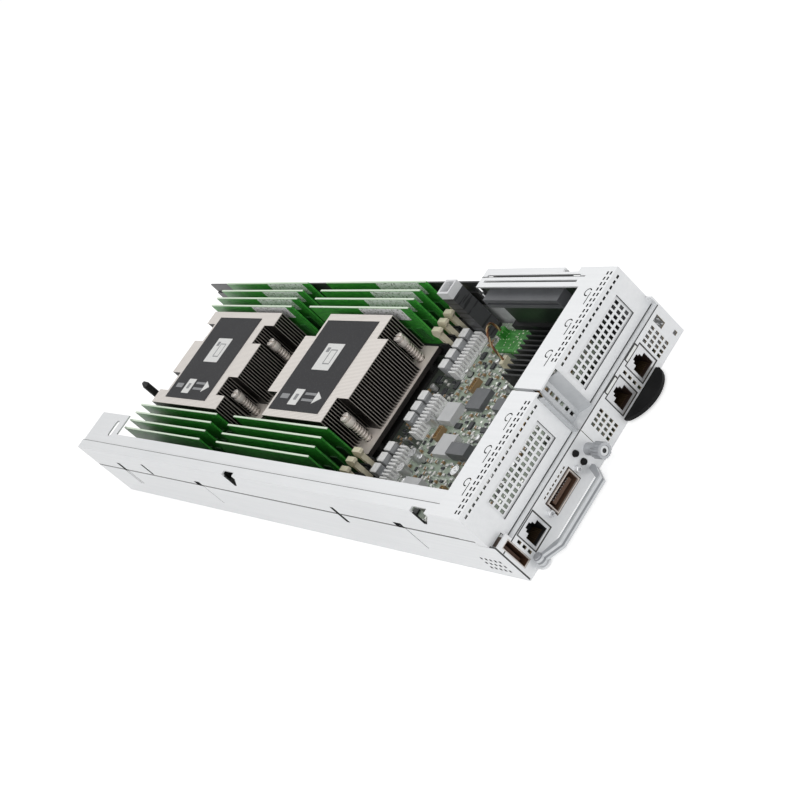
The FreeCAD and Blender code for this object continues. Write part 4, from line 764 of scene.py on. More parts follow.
def soften(piece: Piece, width: float, segments: int = 2, test: Test = lambda first, last: True) -> Piece:
    """Bevel edges, all of them unless a test picks some.

    Args:
        piece: the piece to bevel.
        width: reach of the bevel in metres.
        segments: steps across it.
        test: takes an edge's two ends.

    Returns:
        The same piece.
    """
    with picked(piece, "EDGE", test):
        bpy.ops.mesh.bevel(offset=width, segments=segments, affect="EDGES")
    return piece


def recess(piece: Piece, test: Test, rim: float, offset: Vector) -> None:
    """Inset the picked faces and extrude what is inside the rim.

    Args:
        piece: the piece to cut.
        test: takes a face's centre and normal.
        rim: width of the rim in metres.
        offset: way that the inside goes.
    """
    with picked(piece, "FACE", test):
        bpy.ops.mesh.inset(thickness=rim)
        bpy.ops.mesh.extrude_region_move(TRANSFORM_OT_translate={"value": offset})


def joined(name: str, pieces: Sequence[Piece]) -> Piece:
    """Join pieces into one and name it.

    Args:
        name: the new name.
        pieces: what to join, the leading piece first.

    Returns:
        The whole.
    """
    only()
    for piece in pieces:
        piece.select_set(True)
    bpy.context.view_layer.objects.active = pieces[0]
    bpy.ops.object.join()
    whole = bpy.context.object
    whole.name = whole.data.name = name
    return whole


def copies(pattern: Piece, places: Sequence[Matrix]) -> Piece:
    """Copy a pattern to several places and join the copies under its name.

    Args:
        pattern: the piece modelled once, about the origin.
        places: where each copy goes.

    Returns:
        One object made of all copies.
    """
    name, made = pattern.name, []
    for place in places:
        mesh = pattern.data.copy()
        mesh.transform(place)
        made.append(link(name, mesh))
    bpy.data.objects.remove(pattern)
    return joined(name, made)


def smooth(piece: Piece, angle: float = 40.0) -> Piece:
    """Shade a piece smooth below an angle in degrees.

    Args:
        piece: the piece to shade.
        angle: limit in degrees.

    Returns:
        The same piece.
    """
    only(piece)
    bpy.ops.object.shade_smooth_by_angle(angle=math.radians(angle))
    return piece


def above(height: float) -> Test:
    """Test for edges that lie at or above a height."""
    return lambda first, last: min(first.z, last.z) > height - HAIR


def facing(direction: Vector, share: float = 0.9) -> Test:
    """Test for faces that look one way, more closely with a greater share."""
    return lambda centre, normal: normal.dot(direction) > share


def upright(first: Vector, last: Vector) -> bool:
    """Tell whether an edge runs up and down."""
    return abs(first.z - last.z) > HAIR


@dataclass
class Assembly:
    """A sub-assembly of the node with the finishes it is dressed in."""

    palette: Palette

    def dress(self, **finishes: str) -> None:
        """Give CAD nodes, by name, their finishes.

        Args:
            finishes: the finish of each node, under the node's name.
        """
        for name, finish in finishes.items():
            wear(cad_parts[name], self.palette[finish])
            LOG.info("%s keeps its CAD shape in %s", name, finish)

    def fit(self, piece: Piece, slot: str, finish: str = "", body: str = "chassis",
            stands_for: Sequence[str] = ()) -> None:
        """Dress a new piece and set it on its body.

        Args:
            piece: the finished mesh.
            slot: the record's material slot; not used.
            finish: its finish, or nothing where its faces have theirs already.
            body: the CAD body it rides on.
            stands_for: CAD nodes that it replaces.
        """
        if finish:
            wear(piece, self.palette[finish])
        if stands_for:
            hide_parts(*stands_for)
        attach(piece, body)
        LOG.info("%s rides on %s, %d faces", piece.name, body, len(piece.data.polygons))


@dataclass
class Studio:
    """Camera, floor and soft light."""

    eye: Trio = (-0.33196, -1.05518, 0.55964)
    aim: Trio = (0.02220, -0.02857, 0.0)
    roll: float = math.radians(-47.574)
    lens: float = 78.353
    floor_size: float = 12.0
    floor_drop: float = 0.3 * MM
    floor_glow: float = 0.53
    fill_level: float = 0.55
    lamps: Sequence[Tuple[str, Trio, float, float]] = (("key_lamp", (-0.75, -1.25, 1.15), 1.4, 10.5),
                                                       ("back_lamp", (0.7, 0.8, 1.3), 1.2, 10.5 * 0.35))

    def camera(self) -> None:
        """Put the camera at the photograph's view."""
        data = bpy.data.cameras.new("photo_camera")
        data.lens = self.lens
        made = link("photo_camera", data)
        made.location = self.eye
        look = (Vector(self.aim) - Vector(self.eye)).to_track_quat("-Z", "Y")
        made.rotation_euler = (look.to_matrix() @ Matrix.Rotation(self.roll, 3, "Z")).to_euler()
        bpy.context.scene.camera = made

    def floor(self) -> None:
        """Lay a pale floor that reads white to the camera and keeps the shadow."""
        only()
        bpy.ops.mesh.primitive_plane_add(size=self.floor_size, location=(0.0, 0.0, -self.floor_drop))
        plane = bpy.context.object
        plane.name = "studio_floor"
        paper = bpy.data.materials.new("floor_paper")
        canvas = Canvas(paper)
        canvas.surface(canvas.mix(canvas.noise(300.0), "#e4e4e4", "#e8e8e8"), 0.9)
        glow = canvas.node("ShaderNodeEmission", inputs={"Color": WHITE, "Strength": canvas.seen() * self.floor_glow})
        both = canvas.node("ShaderNodeAddShader", inputs={0: Term(canvas, canvas.shader.outputs[0]), 1: glow})
        canvas.feed(canvas.tree.nodes["Material Output"].inputs["Surface"], both)
        wear(plane, paper)

    def light(self) -> None:
        """Set the white surroundings and two large soft lamps."""
        bpy.context.scene.view_settings.view_transform = "Standard"
        world = bpy.context.scene.world = bpy.data.worlds.new("studio_world")
        sky = Canvas(world)
        level = sky.node("ShaderNodeMapRange",
                         inputs={"Value": sky.seen(), "To Min": self.fill_level, "To Max": 1.0})
        sky.feed(sky.shader.inputs["Color"], WHITE)
        sky.feed(sky.shader.inputs["Strength"], level)
        for name, place, size, power in self.lamps:
            data = bpy.data.lights.new(name, "AREA")
            data.size = size
            data.energy = power
            lamp = link(name, data)
            lamp.location = place
            lamp.rotation_euler = (-Vector(place)).to_track_quat("-Z", "Y").to_euler()

    def set_up(self) -> None:
        """Make the whole studio."""
        self.camera()
        self.floor()
        self.light()


@dataclass
class WireBundle(Assembly):
    """Twisted wires from the board header over to the small raised board."""

    route: Sequence[Trio] = (
        (50.44, -144.02, 16.0), (50.44, -144.02, 25.0), (55.44, -140.78, 32.5), (62.65, -136.10, 35.5),
        (68.94, -132.02, 31.1), (68.94, -132.02, 22.6))
    across: float = 2.0 * MM
    lay: float = 11.0 * MM

    @staticmethod
    def thread(name: str, kind: str, points: Sequence[Vector]) -> Piece:
        """Add a curve of one spline.

        Args:
            name: the curve's name.
            kind: the spline's type.
            points: its points in metres.

        Returns:
            The curve object.
        """
        curve = bpy.data.curves.new(name, "CURVE")
        curve.dimensions = "3D"
        spline = curve.splines.new(kind)
        spline.points.add(len(points) - 1)
        for point, place in zip(spline.points, points):
            point.co = (*place, 1.0)
        return link(name, curve)

    def line(self) -> List[Vector]:
        """Read the points of the smooth route.

        Returns:
            Points along the route's own spline, in metres.
        """
        holder = self.thread("wire_route", "NURBS", [mm(*place) for place in self.route])
        spline = holder.data.splines[0]
        spline.order_u = 3
        spline.use_endpoint_u = True
        spline.resolution_u = 24
        mesh = bpy.data.meshes.new_from_object(holder)
        points = [vertex.co.copy() for vertex in mesh.vertices]
        bpy.data.objects.remove(holder)
        bpy.data.meshes.remove(mesh)
        return points

    def strand(self, points: List[Vector], start: float, finish: str) -> Piece:
        """Wind one wire round the route.

        Args:
            points: the route's points.
            start: angle of the wire at the exit.
            finish: the wire's skin.

        Returns:
            The wire as a mesh.
        """
        radius = self.across / 4.0
        side, run, wound = Vector((1.0, 0.0, 0.0)), 0.0, []
        for index, place in enumerate(points):
            ahead = points[min(index + 1, len(points) - 1)] - points[max(index - 1, 0)]
            ahead.normalize()
            side = (side - ahead * side.dot(ahead)).normalized()
            run += (place - points[index - 1]).length if index else 0.0
            angle = start + 2 * math.pi * run / self.lay
            offset = side * math.cos(angle) + ahead.cross(side) * math.sin(angle)
            wound.append(place + offset * (self.across / 2 - radius))
        holder = self.thread("wire_strand", "POLY", wound)
        holder.data.bevel_depth = radius
        holder.data.bevel_resolution = 2
        holder.data.use_fill_caps = True
        only(holder)
        bpy.ops.object.convert(target="MESH")
        wire = bpy.context.object
        wear(wire, self.palette[finish])
        return wire

    def build(self) -> None:
        points = self.line()
        strands = [self.strand(points, 2 * math.pi * turn / len(WIRES), finish.name)
                   for turn, finish in enumerate(WIRES)]
        bundle = smooth(joined("twisted_wires", strands), 60.0)
        self.fit(bundle, "wire_skin", stands_for=["wire_bundle"])


@dataclass
class Chassis(Assembly):
    """Tray, walls, cages and covers of bright sheet."""

    skin: float = 0.1 * MM
    fold: float = 1.1 * MM
    ledge: float = 2.5 * MM
    step: float = 8.0 * MM
    seam: float = 36.0 * MM
    line: float = 0.8 * MM
    rear: float = -275.0 * MM
    shelf: float = 26.0 * MM
    # warm tone of the painted shade inside the port plates
    warm_shade: str = "#8d7f66"
    rim: float = 0.9
    mouths: Sequence[Tuple[float, float, float, float]] = (
        (-74.5, -58.5, 8.0, 24.0), (-49.3, -24.7, 8.6, 18.6), (23.0, 39.0, 5.8, 21.8), (46.6, 62.6, 5.8, 21.8),
        (25.5, 36.5, 21.8, 24.4), (49.1, 60.1, 21.8, 24.4))

    def plate(self, node: str, *shaded: Shade) -> None:
        """Dress a sheet node, with the boxes that hold its insides, cut edges and seams in shade."""
        self.dress(**{node: self.palette.draw(SheetSteel(f"{node}_sheet", shaded=shaded))})

    def cage(self, side: str) -> None:
        """Dress a card cage, with painted shade within it and along its foot.

        Args:
            side: left or right.
        """
        low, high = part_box(f"riser_cage_{side}")
        thin = self.skin
        # painted shade: the cage's inner faces and vent cut edges, and a line along its foot where it meets the port
        # plate
        self.plate(f"riser_cage_{side}",
                   Shade(low + Vector((thin, thin, -1.0)), high - Vector((thin, -1.0, thin))),
                   Shade(low - FAR, Vector((1.0, low.y + self.fold, low.z + self.line))))

    def rail(self, side: str) -> None:
        """Dress an upper side wall, with painted shade within it, along its seam and along the step on its top.

        Args:
            side: left or right.
        """
        low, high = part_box(f"side_rail_{side}")
        step = Vector((low.x + self.step, 0.0, high.z))
        reach = Vector((self.line / 2, 1.0, self.ledge))
        # painted shade: inner face and slot cut edges, a shadow line along the seam and one along the step on the top
        self.plate(f"side_rail_{side}",
                   Shade(low + Vector((self.skin, -1.0, -1.0)), high + Vector((-self.skin, 1.0, -self.ledge))),
                   Shade(low - FAR, Vector((1.0, 1.0, self.seam + self.line))),
                   Shade(step - reach, step + reach))

    def port_plate(self, side: str) -> None:
        """Dress a port plate, with warm painted shade within it and painted shade along its upper edge and round the
        port mouths.

        Args:
            side: left or right.
        """
        front = self.rear + self.skin
        # painted shade: outlines round each port mouth, a line along the upper edge and a warm tone behind the front
        # face
        mouths = [Shade(Vector(((x0 - self.rim) * MM, -1.0, (z0 - self.rim) * MM)),
                        Vector(((x1 + self.rim) * MM, front, (z1 + self.rim) * MM)))
                  for x0, x1, z0, z1 in self.mouths]
        self.plate(f"io_plate_{side}",
                   Shade(Vector((-1.0, front, -1.0)), Vector((1.0, 1.0, self.shelf - self.fold)), self.warm_shade),
                   Shade(Vector((-1.0, -1.0, self.shelf - self.line)), Vector((1.0, front, self.shelf))), *mouths)

    def build(self) -> None:
        """Dress the sheet metal."""
        self.dress(centre_bracket="channel_sheet", tab_guides="channel_sheet", standoffs="turned_steel")
        for side in ("left", "right"):
            self.cage(side)
            self.rail(side)
            self.port_plate(side)
            low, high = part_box(f"slot_cover_{side}")
            # painted shade behind the slot cover's outer face
            self.plate(f"slot_cover_{side}", Shade(low + Vector((-1.0, self.skin, -1.0)), high + FAR))
        low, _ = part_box("tray_pan")
        # painted shade on the tray's wall cut edges and a shadow line along its top seam
        self.plate("tray_pan",
                   Shade(low + Vector((self.skin, -1.0, self.fold)), Vector((low.x + self.fold, 1.0, 1.0))),
                   Shade(Vector((-1.0, -1.0, self.seam - self.line)), FAR))


@dataclass
class Cooler(Assembly):
    """One processor cooler: base, fins, top label, and four sprung screws."""

    which: str = "front"
    screw_in: float = 21.0 * MM
    screw_end: float = 9.25 * MM
    coil_radius: float = 2.85 * MM
    coil_wire: float = 0.55 * MM
    coil_turns: int = 7
    coil_steps: int = 14
    spring_high: float = 17.5 * MM
    head_radius: float = 3.8 * MM
    head_high: float = 8.0 * MM
    neck: float = 1.0 * MM
    slot_half: float = 0.6 * MM
    slot_deep: float = 1.2 * MM
    shank_radius: float = 2.0 * MM
    fin_in: float = 0.25 * MM
    fin_pitch: float = 2.262 * MM
    print_high: float = 0.12 * MM
    patch_at: Spot = (7.5, 0.6)
    patch: Spot = (23.0, 23.0)
    square_at: Spot = (-27.8, 7.0)
    arrow: Spot = (-0.027, -0.021)
    arrow_radius: float = 6 * MM

    def corners(self) -> List[Matrix]:
        """Places of the four screws on the base.

        Returns:
            One shift for each screw, with the base's top as height.
        """
        low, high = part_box(f"heatsink_base_{self.which}")
        return [shift((x, y, high.z))
                for x in (low.x + self.screw_in, high.x - self.screw_in)
                for y in (low.y + self.screw_end, high.y - self.screw_end)]

    def spring(self) -> Piece:
        """Wind one coil spring about the upright axis.

        Returns:
            The spring, with its foot on the origin.
        """
        only()
        bpy.ops.mesh.primitive_circle_add(vertices=6, radius=self.coil_wire, fill_type="NOTHING",
                                          location=(self.coil_radius, 0.0, self.coil_wire),
                                          rotation=(math.pi / 2, 0.0, 0.0))
        coil = settle(f"cooler_springs_{self.which}")
        wind = coil.modifiers.new("wind", "SCREW")
        wind.angle = 2 * math.pi * self.coil_turns
        wind.screw_offset = self.spring_high - 2 * self.coil_wire
        wind.steps = wind.render_steps = self.coil_steps * self.coil_turns
        bpy.ops.object.modifier_apply(modifier=wind.name)
        bpy.ops.object.mode_set(mode="EDIT")
        bpy.ops.mesh.select_all(action="SELECT")
        bpy.ops.mesh.fill_holes(sides=0)
        bpy.ops.mesh.normals_make_consistent(inside=False)
        bpy.ops.object.mode_set(mode="OBJECT")
        return smooth(coil, 60.0)

    def screw(self) -> Piece:
        """Turn one shouldered screw with a slotted head over a neck and a collar.

        Returns:
            The screw, with its foot on the origin.
        """
        low, neck = self.spring_high, self.neck
        collar = self.head_high * 0.55
        head = drum(f"cooler_screws_{self.which}", UP * low, self.head_radius, collar, sides=28)
        soften(head, 0.4 * MM)
        recess(head, lambda centre, normal: normal.z > 0.99 and centre.z > low + collar - HAIR, 1.0 * MM, UP * neck)
        disc = drum("disc", UP * (low + collar + neck), self.head_radius - 0.2 * MM,
                    self.head_high - collar - neck, sides=28)
        soften(disc, 0.35 * MM)
        slot = block("slot", (-self.slot_half, -5.0 * MM, low + self.head_high - self.slot_deep),
                     (self.slot_half, 5.0 * MM, low + self.head_high + 1.0 * MM))
        cut = disc.modifiers.new("cut", "BOOLEAN")
        cut.object = slot
        only(disc)
        bpy.ops.object.modifier_apply(modifier=cut.name)
        bpy.data.objects.remove(slot)
        head = joined(head.name, [head, disc])
        shank = drum("shank", (0.0, 0.0, 0.0), self.shank_radius, self.spring_high, sides=16)
        recess(shank, facing(UP), 0.4 * MM, UP * (0.2 * MM))
        return smooth(joined(head.name, [head, shank]))

    def print_foot(self) -> Vector:
        """Middle of the top label's upper face."""
        low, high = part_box(f"heatsink_label_{self.which}")
        return Vector(((low.x + high.x) / 2, (low.y + high.y) / 2, high.z))

    def printed(self, name: str, at: Spot, size: Spot, level: float = 0.0) -> Piece:
        """Lay a thin printed patch with round corners on the top label.

        Args:
            name: the patch's name.
            at: its middle from the label's middle, in mm.
            size: its two sides in mm.
            level: height of its foot above the label, in metres.

        Returns:
            The patch.
        """
        half = mm(*size, 0.0) / 2
        foot = self.print_foot() + mm(*at, 0.0) + UP * level
        return soften(block(name, foot - half, foot + half + UP * self.print_high), 0.3 * MM, test=upright)

    def pale_marks(self) -> Piece:
        """Print the pale marks: a patch, a small square and the head of an arrow.

        Returns:
            All pale marks as one piece.
        """
        parts = [self.printed("label_patch", self.patch_at, self.patch),
                 self.printed("label_square", self.square_at, (13.5, 12.0))]
        only()
        middle = self.print_foot() + Vector((*self.arrow, self.print_high / 2))
        bpy.ops.mesh.primitive_cylinder_add(vertices=3, radius=self.arrow_radius, depth=self.print_high,
                                            location=middle, rotation=(0.0, 0.0, math.pi))
        parts.append(soften(settle("arrow_head"), 0.4 * MM, test=upright))
        return joined(f"label_print_{self.which}", parts)

    def grey_marks(self) -> Piece:
        """Print the grey marks: a bar, the arrow's two stems, a spot on the square, a spot and a frame on the patch.

        Returns:
            All grey marks as one piece.
        """
        over, middle = self.print_high, self.patch_at[0]
        parts = [self.printed("label_bar", (self.square_at[0], 22.8), (4.0, 11.0)),
                 self.printed("stem_upper", (-24.4, -10.0), (2.0, 15.0)),
                 self.printed("stem_lower", (-29.6, -10.0), (2.0, 15.0)),
                 self.printed("square_spot", self.square_at, (5.0, 4.0), over),
                 self.printed("patch_spot", (13.5, 6.5), (4.0, 4.0), over)]
        parts += [self.printed("patch_frame", (middle + 6.0 * side, -2.0), (0.8, 9.0), over) for side in (-1, 1)]
        parts += [self.printed("patch_frame", (middle, -2.0 + 4.1 * side), (11.2, 0.8), over) for side in (-1, 1)]
        return joined(f"label_grey_print_{self.which}", parts)

    def build(self) -> None:
        """Dress the cooler and add its springs, screws and marks."""
        which = self.which
        low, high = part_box(f"heatsink_fins_{which}")
        fins = FinStack(f"fin_stack_{which}", (low.y + high.y) / 2, (high.y - low.y) / 2, high.z,
                        low.x + self.fin_in, self.fin_pitch)
        self.dress(**{f"heatsink_fins_{which}": self.palette.draw(fins),
                      f"heatsink_base_{which}": "cooler_base_metal", f"heatsink_label_{which}": "dark_label_film",
                      f"processor_{which}": "processor_lid_metal", f"socket_{which}": "socket_plastic"})
        places = self.corners()
        self.fit(copies(self.spring(), places), "spring_steel", "spring_wire", stands_for=["heatsink_springs"])
        self.fit(copies(self.screw(), places), "fixings", "cooler_screw_metal", stands_for=["heatsink_screws"])
        self.fit(self.pale_marks(), "dark_label", "pale_print")
        self.fit(self.grey_marks(), "dark_label", "grey_print")


@dataclass
class MemoryBank(Assembly):
    """Slots, modules and latches on one side of the coolers."""

    side: str = "left"
    pitch: float = 7.62 * MM
    banks: Spot = (159.0 * MM, -2.0 * MM)
    tag_y: Spot = (-57.0 * MM, -2.0 * MM)
    tag_z: Spot = (43.0 * MM, 55.2 * MM)
    board_half: float = 0.65 * MM
    tag_thick: float = 0.12 * MM
    tones: Tuple[str, str, str] = ("#2f8a2c", "#226e24", "#1f4a22")

    def tags(self, start: float) -> Piece:
        """Stick a pale tag on the outer face of each module.

        Args:
            start: x of the first module.

        Returns:
            All tags of this side as one piece.
        """
        (y0, y1), (z0, z1) = self.tag_y, self.tag_z
        tag = block(f"module_tags_{self.side}", (-self.board_half - self.tag_thick, y0, z0),
                    (-self.board_half, y1, z1))
        soften(tag, 0.8 * MM, test=lambda first, last: abs(first.x - last.x) > HAIR)
        return copies(tag, [shift((start + turn * self.pitch, bank, 0.0)) for turn in range(4) for bank in self.banks])

    def build(self) -> None:
        """Dress the bank and stick its tags on where they show."""
        side = self.side
        low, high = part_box(f"memory_modules_{side}")
        start = (low.x + high.x) / 2 - 1.5 * self.pitch
        mask = ModuleMask(f"module_mask_{side}", start, *self.tones)
        self.dress(**{f"memory_slots_{side}": "slot_plastic", f"memory_modules_{side}": self.palette.draw(mask),
                      f"latches_front_{side}": "latch_plastic", f"latches_rear_{side}": "latch_plastic"})
        if side == "right":
            self.fit(self.tags(start), "module_board", "module_tag")


@dataclass
class PowerRow(Assembly):
    """Moulded inductors with their comb coolers behind the rear processor."""

    groups: Sequence[Tuple[float, int]] = ((68.6, 4), (15.7, 3), (-26.5, 3))
    pitch: float = 8.8
    body: float = 7.4 * MM
    high: float = 12.0 * MM

    def inductor(self) -> Piece:
        """Model one moulded inductor with a dished top, standing on the origin.

        Returns:
            The inductor.
        """
        half = self.body / 2
        made = block("inductor_row", (-half, -half, 0.0), (half, half, self.high))
        soften(made, 0.7 * MM)
        recess(made, facing(UP, 0.99), 0.9 * MM, UP * (-0.25 * MM))
        return smooth(made)

    def build(self) -> None:
        """Set the inductors in their groups and dress the combs."""
        low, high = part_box("inductors")
        places = [shift(((start - turn * self.pitch) * MM, (low.y + high.y) / 2, low.z))
                  for start, count in self.groups for turn in range(count)]
        self.fit(copies(self.inductor(), places), "inductor_shell", "inductor_shell", stands_for=["inductors"])
        self.dress(transistor_coolers="comb_metal")


@dataclass
class BoardParts(Assembly):
    """Main board with its chips, cans and many small parts."""

    seed: int = 11
    field_x: Spot = (-83.0, 73.0)
    field_y: Spot = (-216.0, -72.0)
    grid: float = 1.2
    tries: int = 6
    ray_high: float = 45.0 * MM
    taken: List[Trio] = field(default_factory=list)

    def free(self, x: float, y: float, reach: float) -> bool:
        """Tell whether the board lies bare under a part.

        Args:
            x: place of its middle in metres.
            y: place of its middle in metres.
            reach: half its longer side.

        Returns:
            True where nothing stands yet.
        """
        if any(math.hypot(x - px, y - py) < reach + other for px, py, other in self.taken):
            return False
        graph = bpy.context.evaluated_depsgraph_get()
        for dx, dy in ((0, 0), (1, 1), (1, -1), (-1, 1), (-1, -1)):
            start = Vector((x + dx * reach, y + dy * reach, self.ray_high))
            _, _, _, _, thing, _ = bpy.context.scene.ray_cast(graph, start, -UP)
            if thing is None or thing.name != "motherboard":
                return False
        return True

    def scatter(self, pattern: Piece, count: int, reach: float, chance: random.Random) -> Piece:
        """Stand copies of a part on bare places of the board.

        Args:
            pattern: the part, standing on the origin.
            count: how many to try for.
            reach: half its longer side.
            chance: seeded numbers.

        Returns:
            The copies as one piece.
        """
        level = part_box("motherboard")[1].z
        places = []
        for _ in range(count * self.tries):
            x, y = (round(chance.uniform(*span) / self.grid) * self.grid * MM for span in (self.field_x, self.field_y))
            if len(places) < count and self.free(x, y, reach):
                self.taken.append((x, y, reach))
                turn = Matrix.Rotation(math.pi / 2 * chance.randrange(2), 4, "Z")
                places.append(shift((x, y, level)) @ turn)
        return copies(pattern, places)

    def ceramic(self, name: str, size: Trio, finish: str) -> Piece:
        """Model a small two-ended part with tinned ends, standing on the origin.

        Args:
            name: the part's name.
            size: its sides in mm.
            finish: its body's finish.

        Returns:
            The part.
        """
        x, y, z = (value * MM for value in size)
        made = block(name, (-x * 0.28, -y / 2, 0.0), (x * 0.28, y / 2, z * 0.94))
        with picked(made, "FACE", lambda centre, normal: abs(normal.x) > 0.9):
            bpy.ops.mesh.extrude_region_shrink_fatten(TRANSFORM_OT_shrink_fatten={"value": x * 0.22})
        wear(made, self.palette[finish], self.palette["tinned_leads"])
        for face in made.data.polygons:
            face.material_index = 1 if abs(face.center.x) > x * 0.3 else 0
        return made

    def chip(self, name: str, size: Trio, legs: int) -> Piece:
        """Model a small flat chip with a row of leads on two sides, standing on the origin.

        Args:
            name: the part's name.
            size: its body's sides in mm.
            legs: leads on a side.

        Returns:
            The part.
        """
        x, y, z = (value * MM for value in size)
        body = soften(block(name, (-x / 2, -y / 2, 0.15 * MM), (x / 2, y / 2, z)), 0.2 * MM, 1, above(z))
        wear(body, self.palette["dark_chip_plastic"])
        pitch, out, parts = x / legs, y / 2 + 0.7 * MM, [body]
        for turn in range(legs):
            middle = -x / 2 + pitch * (turn + 0.5)
            parts.append(block("lead", (middle - pitch * 0.25, -out, 0.0), (middle + pitch * 0.25, out, 0.35 * MM)))
            wear(parts[-1], self.palette["tinned_leads"])
        return joined(name, parts)

    def can(self) -> Piece:
        """Model a small round capacitor on its square foot, standing on the origin.

        Returns:
            The capacitor.
        """
        half, step, radius, high = 2.3 * MM, 0.6 * MM, 2.1 * MM, 4.8 * MM
        foot = block("board_cans", (-half, -half, 0.0), (half, half, step))
        wear(soften(foot, 0.6 * MM, 1, upright), self.palette["black_plastic"])
        can = drum("can", UP * step, radius, high, sides=18)
        wear(soften(can, 0.35 * MM, 2, above(step + high)), self.palette["capacitor_can"])
        return smooth(joined("board_cans", [foot, can]))

    def header(self) -> Piece:
        """Model a pin header in a tan frame, standing on the origin.

        Returns:
            The header.
        """
        x, y, wall, deep = 5.0 * MM, 2.2 * MM, 0.6 * MM, 3.0 * MM
        shroud = block("pin_headers", (-x, -y, 0.0), (x, y, 4.5 * MM))
        recess(shroud, facing(UP), wall, UP * -deep)
        wear(shroud, self.palette["tan_ceramic"])
        pitch, half, low, high, parts = 1.8, 0.3 * MM, 1.0 * MM, 4.2 * MM, [shroud]
        for turn in range(-2, 3):
            at = turn * pitch * MM
            parts.append(block("pin", (at - half, -half, low), (at + half, half, high)))
            wear(parts[-1], self.palette["gold_contacts"])
        return joined("pin_headers", parts)

    def build(self) -> None:
        """Dress the board and stand its small parts on it."""
        self.dress(motherboard="main_board_mask", capacitors="capacitor_can", chips="chip_plastic",
                   chip_cooler="black_anodised", daughter_board="green_board_mask", riser_card="riser_board_mask",
                   wire_header="cream_plastic", baffle_post="baffle_plastic", riser_slot="grey_plastic",
                   riser_socket="black_plastic", midplane_connector="black_plastic", guide_post="black_plastic")
        chance = random.Random(self.seed)
        parts = ((self.header(), 12, 5.4 * MM, "cream_plastic"),
                 (self.can(), 18, 2.5 * MM, "capacitor_can"),
                 (self.chip("board_chips", (6.0, 4.0, 1.4), 6), 30, 3.4 * MM, "chip_plastic"),
                 (self.chip("board_gates", (3.0, 1.8, 1.1), 3), 70, 1.9 * MM, "chip_plastic"),
                 (self.ceramic("tan_ceramics", (3.6, 2.0, 1.8), "tan_ceramic"), 160, 1.9 * MM, "chip_plastic"),
                 (self.ceramic("white_ceramics", (3.0, 1.8, 1.3), "white_ceramic"), 330, 1.5 * MM, "chip_plastic"))
        for pattern, count, reach, slot in parts:
            self.fit(self.scatter(pattern, count, reach, chance), slot)


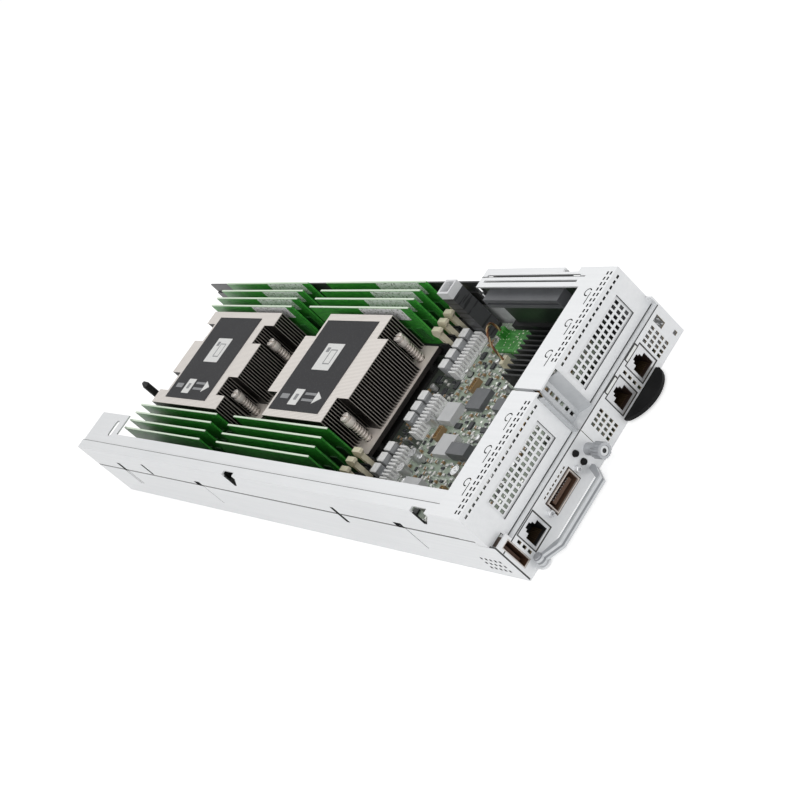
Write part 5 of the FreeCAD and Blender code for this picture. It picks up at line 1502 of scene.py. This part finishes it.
@dataclass
class PortPanel(Assembly):
    """Network jacks, data and video ports and light pipes at the port end."""

    jacks: Sequence[Spot] = ((-66.5, 8.0), (31.0, 5.8), (54.6, 5.8))
    face_y: float = -275.0
    contact_pitch: float = 1.2
    contact_high: float = 1.9
    video: Spot = (-37.0, 13.6)
    post_out: float = 15.6
    post_radius: float = 2.3 * MM
    post_long: float = 3.0
    pin_pitch: float = 1.9
    tongue_half: float = 1.3

    def contacts(self) -> Piece:
        """Set eight sprung contacts in the floor of each jack.

        Returns:
            All contacts as one piece.
        """
        half, near, far, thick, rise = 0.3 * MM, 3.0 * MM, 9.0 * MM, 0.5 * MM, 2.2 * MM
        wire = block("jack_contacts", (-half, near, 0.0), (half, far, thick))
        with picked(wire, "FACE", facing(-REARWARD)):
            bpy.ops.transform.translate(value=UP * rise)
        soften(wire, 0.1 * MM, 1)
        return copies(wire, [shift(mm(x + (turn - 3.5) * self.contact_pitch, self.face_y, low + self.contact_high))
                             for x, low in self.jacks for turn in range(8)])

    def posts(self) -> Piece:
        """Stand a six-sided threaded post on either side of the video port.

        Returns:
            Both posts as one piece.
        """
        long = self.post_long * MM
        post = drum("video_posts", (0.0, -long, 0.0), self.post_radius, long, Axis.Y, 6)
        soften(post, 0.3 * MM, 1, lambda first, last: max(first.y, last.y) < -long * 0.9)
        recess(post, facing(REARWARD, 0.99), 0.8 * MM, Vector((0.0, 1.6 * MM, 0.0)))
        x, z = self.video
        return copies(post, [shift(mm(x + way * self.post_out, self.face_y, z)) for way in (-1, 1)])

    def video_pins(self) -> Piece:
        """Lay a row of contacts on the upper and the lower face of the video port's tongue.

        Returns:
            All contacts as one piece.
        """
        half, near, far, thin = 0.5 * MM, 1.0 * MM, 5.0 * MM, 0.15 * MM
        pin = block("video_pins", (-half, near, -thin), (half, far, thin))
        soften(pin, 0.08 * MM, 1)
        x, z = self.video
        return copies(pin, [shift(mm(x + turn * self.pin_pitch, self.face_y, z + level))
                            for turn in range(-4, 5) for level in (-self.tongue_half, self.tongue_half)])

    def build(self) -> None:
        """Dress the ports and add their contacts and posts."""
        self.dress(media_board="media_board_mask", network_jacks="jack_shell", usb_port="data_shell",
                   video_port="video_shell", light_pipes="clear_light_pipe", button_switches="black_plastic")
        self.fit(self.contacts(), "jack_shell", "jack_contacts")
        self.fit(self.posts(), "fixings", "turned_steel")
        self.fit(self.video_pins(), "jack_shell", "tinned_leads")


@dataclass
class Handling(Assembly):
    """Swinging handle, captive thumbscrew, pull tab and buttons."""

    face: Trio = (-7.5, -289.5, 14.0)
    face_radius: float = 3.0 * MM
    face_thick: float = 0.5 * MM

    def knob_face(self) -> Piece:
        """Model the bright ring with its tool recess in the dish of the thumbscrew, the recess painted black as
        painted shade.

        Returns:
            The ring in two materials.
        """
        ring = drum("thumbscrew_face", mm(*self.face), self.face_radius, self.face_thick, Axis.Y)
        recess(ring, facing(REARWARD), self.face_radius * 0.5, -REARWARD * self.face_thick * 0.8)
        wear(ring, self.palette["turned_steel"], self.palette["black_plastic"])
        # painted shade: the faces of the tool recess take a black finish
        for side in ring.data.polygons:
            away = Vector((side.center.x, side.center.z)) - Vector((self.face[0], self.face[2])) * MM
            side.material_index = 1 if away.length < self.face_radius * 0.52 else 0
        return smooth(ring)

    def build(self) -> None:
        """Dress the parts that hands move."""
        self.dress(pull_handle="cast_handle", handle_pin="thumbscrew_metal", thumbscrew="thumbscrew_metal",
                   thumbscrew_sleeve="thumbscrew_metal", pull_tab="tab_plastic", button_upper="tab_plastic",
                   button_lower="tab_plastic")
        self.fit(self.knob_face(), "fixings", body="thumbscrew")


def main() -> None:
    """Build the node's pieces in order."""
    logging.basicConfig(level=logging.INFO, format="%(name)s: %(message)s")
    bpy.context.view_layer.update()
    Studio().set_up()
    palette = Palette()
    for finish in FINISHES:
        palette.draw(finish)
    for part in (WireBundle(palette), Chassis(palette), Cooler(palette, "front"),
                 Cooler(palette, "rear", screw_in=11.7 * MM), MemoryBank(palette, "left"),
                 # the right bank's modules are painted a brighter green than the left bank's, as painted light
                 MemoryBank(palette, "right", tones=("#46a83f", "#358c36", "#2c6c2e")), PowerRow(palette),
                 BoardParts(palette), PortPanel(palette), Handling(palette)):
        part.build()


if __name__ == "__main__":
    main()
